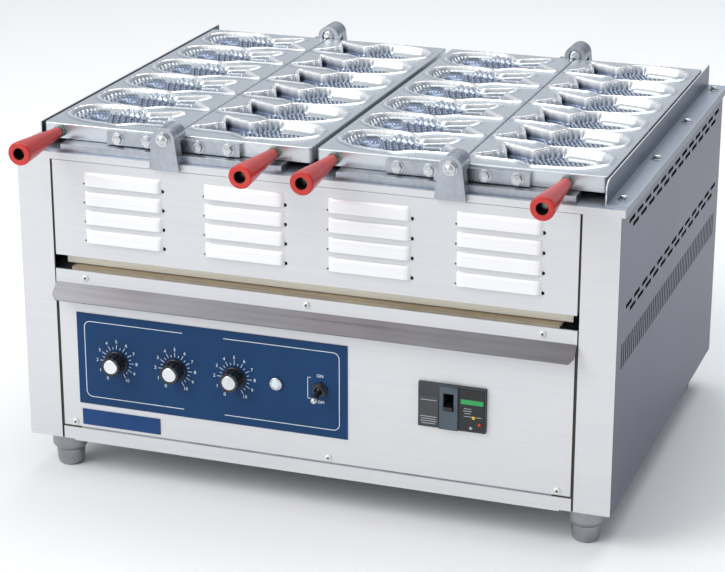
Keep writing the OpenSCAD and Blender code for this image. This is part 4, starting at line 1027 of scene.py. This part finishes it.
for x in DIALS:
    for n in range(21):
        turn = FIRST_TURN + 15 * n
        long = 5.2 if n % 2 == 0 else 2.7
        r = 15.2 + long / 2
        a = math.radians(turn)
        prints.append(mark(x + r * math.sin(a), DIAL_Z + r * math.cos(a), 0.6, long, turn))
        if n % 2 == 0:
            r = 24.0
            prints.append(figure(str(n // 2), x + r * math.sin(a), DIAL_Z + r * math.cos(a), 5.4))
prints += [mark(0.6, 146, 0.6, 25), mark(2.4, 158.2, 4, 0.6), mark(2.4, 133.8, 4, 0.6),
    figure("ON", 15, 161, 5), figure("OFF", 16, 130.5, 4.6)]
fit(joined("white_print", prints), "cabinet", print_white)

# Heat knobs: black phenolic, fluted, on a skirt with a white dot, each with a spun aluminium cap
# pressed into its face. They turn on the shafts of the regulators behind the panel.
knob_black = moulded("knob_phenolic", "#1C1D20", "#141517", 0.33, 500, 0.04, 0.2)
cap_metal = metal("spun_cap", "#E4E7EA", "#C9CDD2", 0.26, (30, 30, 30), 1.0, 0.0)
for i, x in enumerate(DIALS, 1):
    body = turned("knob_skirt", [(3, 19), (3, -1.4), (12.2, -1.4), (13, -1.8), (13, -3.6),
        (12.2, -4.4), (3, -4.4), (3, 19)], x, 0, DIAL_Z, "Y", 64)
    bpy.ops.mesh.primitive_cylinder_add(vertices=96, radius=0.012, depth=0.014,
        location=spot(x, -11.3, DIAL_Z), rotation=(math.pi / 2, 0, 0))
    flutes = settled(bpy.context.object)
    middle = spot(x, 0, DIAL_Z)
    for v in flutes.data.vertices:
        out = Vector((v.co.x - middle.x, 0, v.co.z - middle.z))
        a = math.atan2(out.x, out.z)
        if out.length > 0.005:
            front = v.co.y < spot(0, -11, 0).y
            r = 0.0118 - 0.0011 * (0.5 + 0.5 * math.cos(12 * a)) ** 2 - 0.0005 * front
            out = out.normalized() * r
            v.co.x, v.co.z = middle.x + out.x, middle.z + out.z
    eased(flutes, 0.7, 3, 60)
    lug = block("pointer", (x - 1.3, -16.5, DIAL_Z + 9.5), (x + 1.3, -4, DIAL_Z + 13))
    swung(eased(lug, 0.6, 2), FIRST_TURN, "Y", middle)
    knob = joined("heat_knob_%d" % i, [body, flutes, lug])
    fit(knob, "knob_%d" % i, knob_black, "knob_%d" % i)
    cap = turned("knob_cap_%d" % i, [(0, -18.75), (5.8, -18.75), (6.9, -18.9), (7.6, -18.75),
        (8, -18.3), (8, -17.6), (0, -17.6)], x, 0, DIAL_Z, "Y", 64)
    fit(cap, "knob_%d" % i, cap_metal)
    a = math.radians(FIRST_TURN)
    dot = turned("knob_dot_%d" % i, [(0, -4.95), (0.8, -4.9), (1.1, -4.6), (1.1, -4.3), (0, -4.3)],
        x + 11.7 * math.sin(a + 0.28), 0, DIAL_Z + 11.7 * math.cos(a + 0.28), "Y", 20)
    fit(dot, "knob_%d" % i, print_white)

# Pilot lamp: a clear lens in a chromed bezel. Power switch: a toggle in a black hexagon nut, its
# lever a black sleeve with a bright tip.
lens_painted_glow = moulded("lamp_lens", "#DCE6EC", "#C9D6DF", 0.16, 300, 0.02, 0.5)
nodes, links = lens_painted_glow.node_tree.nodes, lens_painted_glow.node_tree.links
# Painted light: the clear lens is given a faint bluish white glow for the light it catches.
nodes["Principled BSDF"].inputs["Emission Color"].default_value = (0.8, 0.9, 1, 1)
nodes["Principled BSDF"].inputs["Emission Strength"].default_value = 0.06
switch_black = moulded("switch_black", "#202124", "#17181A", 0.3, 500, 0.04, 0.2)
bezel = turned("lamp_bezel", [(0, -1), (7.5, -1), (7.5, -2.8), (7.1, -3.6), (6.3, -4), (5.6, -3.9),
    (5.4, -3.4), (5.4, -2.4), (0, -2.4)], LAMP_X, 0, DIAL_Z, "Y", 48)
fit(bezel, "cabinet", screw_steel, "pilot_lamp")
lens = turned("lamp_lens", [(0, -4.55), (2.4, -4.45), (4.3, -4.0), (5.2, -3.3), (5.3, -2.4),
    (0, -2.4)], LAMP_X, 0, DIAL_Z, "Y", 40)
fit(lens, "cabinet", lens_painted_glow)
nut = hexed("nut", 9, -3.9, -1.0, SWITCH_X, DIAL_Z, 6)
thread = [(5.9 - 0.35 * (k % 2), -3.9 - 0.4 * k) for k in range(9)]
bush = turned("bush", [(4.6, -1), (5.9, -1)] + thread + [(5.2, -7.4), (4.4, -7.4), (4.4, -1)],
    SWITCH_X, 0, DIAL_Z)
fit(joined("switch_nut", [nut, bush]), "cabinet", switch_black, "toggle_switch")
lever = turned("toggle_sleeve", [(0, 4), (2.8, 2.8), (4, 0), (2.9, -2.2), (2.5, -3.2), (3.0, -5),
    (3.5, -9), (3.75, -13), (3.3, -14.4), (0, -14.6)], SWITCH_X, -5, DIAL_Z, "Y", 36)
tip = turned("toggle_tip", [(0, -14.2), (3.0, -14.2), (3.85, -15.2), (4.0, -16.4), (3.7, -18),
    (2.7, -19.3), (1.4, -19.9), (0, -20)], SWITCH_X, -5, DIAL_Z, "Y", 36)
for piece in (lever, tip):
    swung(piece, 20, "X", spot(SWITCH_X, -5, DIAL_Z))
fit(lever, "toggle_lever", switch_black, "toggle_lever")
fit(tip, "toggle_lever", screw_steel)

# Earth-leakage breaker: a dark moulded case through the panel, with a raised middle that carries
# the lever, and a near-black right part with a green band and three small buttons.
BUTTONS = {
    "yellow": (190, 138, "#E3C21A", "#D4B210"),
    "red": (196.5, 131, "#D1352A", "#BE2A20"),
    "grey": (187, 126, "#A9ABAE", "#97999C"),
}
case_dark = moulded("breaker_case", "#363B41", "#2C3136", 0.48, 700, 0.08)
case_side = moulded("breaker_left_part", "#424549", "#383B3F", 0.5, 700, 0.08)
case_mid = moulded("breaker_middle", "#4C5964", "#414D58", 0.46, 700, 0.08)
case_black = moulded("breaker_right_part", "#1D2023", "#15181A", 0.45, 700, 0.06)
band_green = moulded("breaker_green", "#2FA65A", "#27924E", 0.45, 600, 0.04)
lever_black = moulded("breaker_lever", "#141517", "#0E0F10", 0.36, 500, 0.04, 0.15)
kept("breaker_body", "breaker_case", 0.6, "cabinet", case_dark, 3)
left = block("breaker_left", (129.4, -4.5, 123), (150.6, -3.6, 157))
fit(eased(left, 0.3), "cabinet", case_side)
LEFT_PRINT, RIGHT_PRINT = -4.55, -4.62
marks = [mark(139.8, 133 - 2.6 * k, w, 0.35, 0, LEFT_PRINT) for k, w in enumerate((18, 17, 18, 15))]
marks += [mark(139.8, 152, 18, 0.35, 0, LEFT_PRINT), mark(189, 138.8, 20, 0.3, 0, RIGHT_PRINT)]
marks += [mark(183, z, w, 0.35, 0, RIGHT_PRINT)
    for z, w in ((147.6, 8), (144.9, 9.6), (142.2, 7.2))]
marks.append(mark(162.2, 168, 1.5, 1.5, 0, -6.05))
fit(joined("breaker_print", marks), "cabinet", print_white)
right = block("breaker_right", (174.4, -4.6, 122.6), (201.6, -3.6, 169.4))
for bx, bz, pale, deep in BUTTONS.values():
    cut(right, turned("hole", [(0, -9), (2.1, -9), (2.1, 3), (0, 3)], bx, 0, bz, "Y", 28))
fit(eased(right, 0.35), "cabinet", case_black)
band = block("breaker_band", (175.4, -4.75, 152.5), (200.6, -4.4, 157.8))
fit(eased(band, 0.1), "cabinet", band_green)
frame_mid = block("breaker_middle_part", (152.3, -6.3, 122), (172.3, -5.6, 170))
cut(frame_mid, block("slot", (156.4, -9, 142.6), (168, 0, 162.2)))
fit(eased(frame_mid, 0.3), "cabinet", case_mid)
kept("breaker_lever", "breaker_flap", 0.8, "breaker_lever", lever_black, 3)
for colour, (bx, bz, pale, deep) in BUTTONS.items():
    button = turned(colour + "_test_button", [(0, 6), (1.8, 6), (1.8, -5.0), (1.55, -5.4),
        (0.9, -5.55), (0, -5.6)], bx, 0, bz, "Y", 24)
    fit(button, colour + "_button", moulded("button_" + colour, pale, deep, 0.35, 500),
        "breaker_button_" + colour)

# Cable gland: a black moulded gland nut and a domed clamping nut on a threaded bush at the rear,
# for the supply cable, which the picture doesn't show.
GLAND_X, GLAND_Z, GLAND_BORE = 250, 90, 9.9
gland_black = moulded("gland_nylon", "#2A2B2D", "#1F2022", 0.42, 500, 0.08)
gland = []
for name, y0, y1 in (("gland_nut", REAR, 532), ("gland_back", 518.5, 524.4)):
    hole = turned("hole", [(0, 500), (GLAND_BORE, 500), (GLAND_BORE, 560), (0, 560)],
        GLAND_X, 0, GLAND_Z)
    gland.append(cut(hexed(name, 15, y0, y1, GLAND_X, GLAND_Z, 15), hole))
dome = turned("gland_dome", [(7, 549.5), (7.4, 551), (9.6, 551), (10.6, 550.2), (12.6, 545),
    (13.6, 539), (14, 534.2), (13.4, 533.4), (GLAND_BORE, 533.4), (GLAND_BORE, 508), (7, 508),
    (7, 549.5)], GLAND_X, 0, GLAND_Z, "Y", 72)
middle = spot(GLAND_X, 0, GLAND_Z)
for v in dome.data.vertices:
    out = Vector((v.co.x - middle.x, 0, v.co.z - middle.z))
    y = v.co.y * 1000 + FRONT_Y
    if 533.9 < y < 547 and out.length > 0.0105:
        shrink = 1 - 0.05 * (0.5 + 0.5 * math.cos(18 * math.atan2(out.x, out.z)))
        v.co.x, v.co.z = middle.x + out.x * shrink, middle.z + out.z * shrink
fit(joined("cable_gland_set", gland + [dome]), "cabinet", gland_black, "cable_gland")

# Feet: turned sockets welded under the corners of the pan and levelling feet screwed up into
# them. The front feet are bright metal; the rear ones have black pads.
foot_grey = metal("foot_metal", "#A7A9AC", "#8B8E92", 0.4, (60, 60, 60), 0.9, 0.08, 20)
foot_black = moulded("foot_black", "#3B3C3E", "#2C2D2F", 0.5, 500, 0.08)
FEET = [(x, y) for y in (33, 493) for x in (-307, 307)]
sockets = [turned("socket", [(6.1, 20), (16.2, 20), (17.2, 20.4), (20.2, 24.6), (20.5, 25.6),
    (20.5, 42.8), (20.1, 43.6), (19.4, 44), (6.1, 44), (6.1, 20)], x, y, 0, "Z", 48)
    for x, y in sorted(FEET)]
fit(joined("foot_sockets", sockets), "cabinet", foot_grey, "leg_sockets")
for i, (x, y) in enumerate(FEET, 1):
    foot = turned("levelling_foot_%d" % i, [(0, 0), (10.6, 0), (12.4, 0.3), (13.7, 1.2),
        (14.7, 2.6), (15.2, 4.6), (16.1, 15), (16.4, 18.6), (16.2, 19.5), (15.6, 19.7), (6, 19.7),
        (6, 51), (5.2, 52), (0, 52)], x, y, 0, "Z", 48)
    fit(foot, "foot_%d" % i, foot_grey if i < 3 else foot_black, "foot_%d" % i)
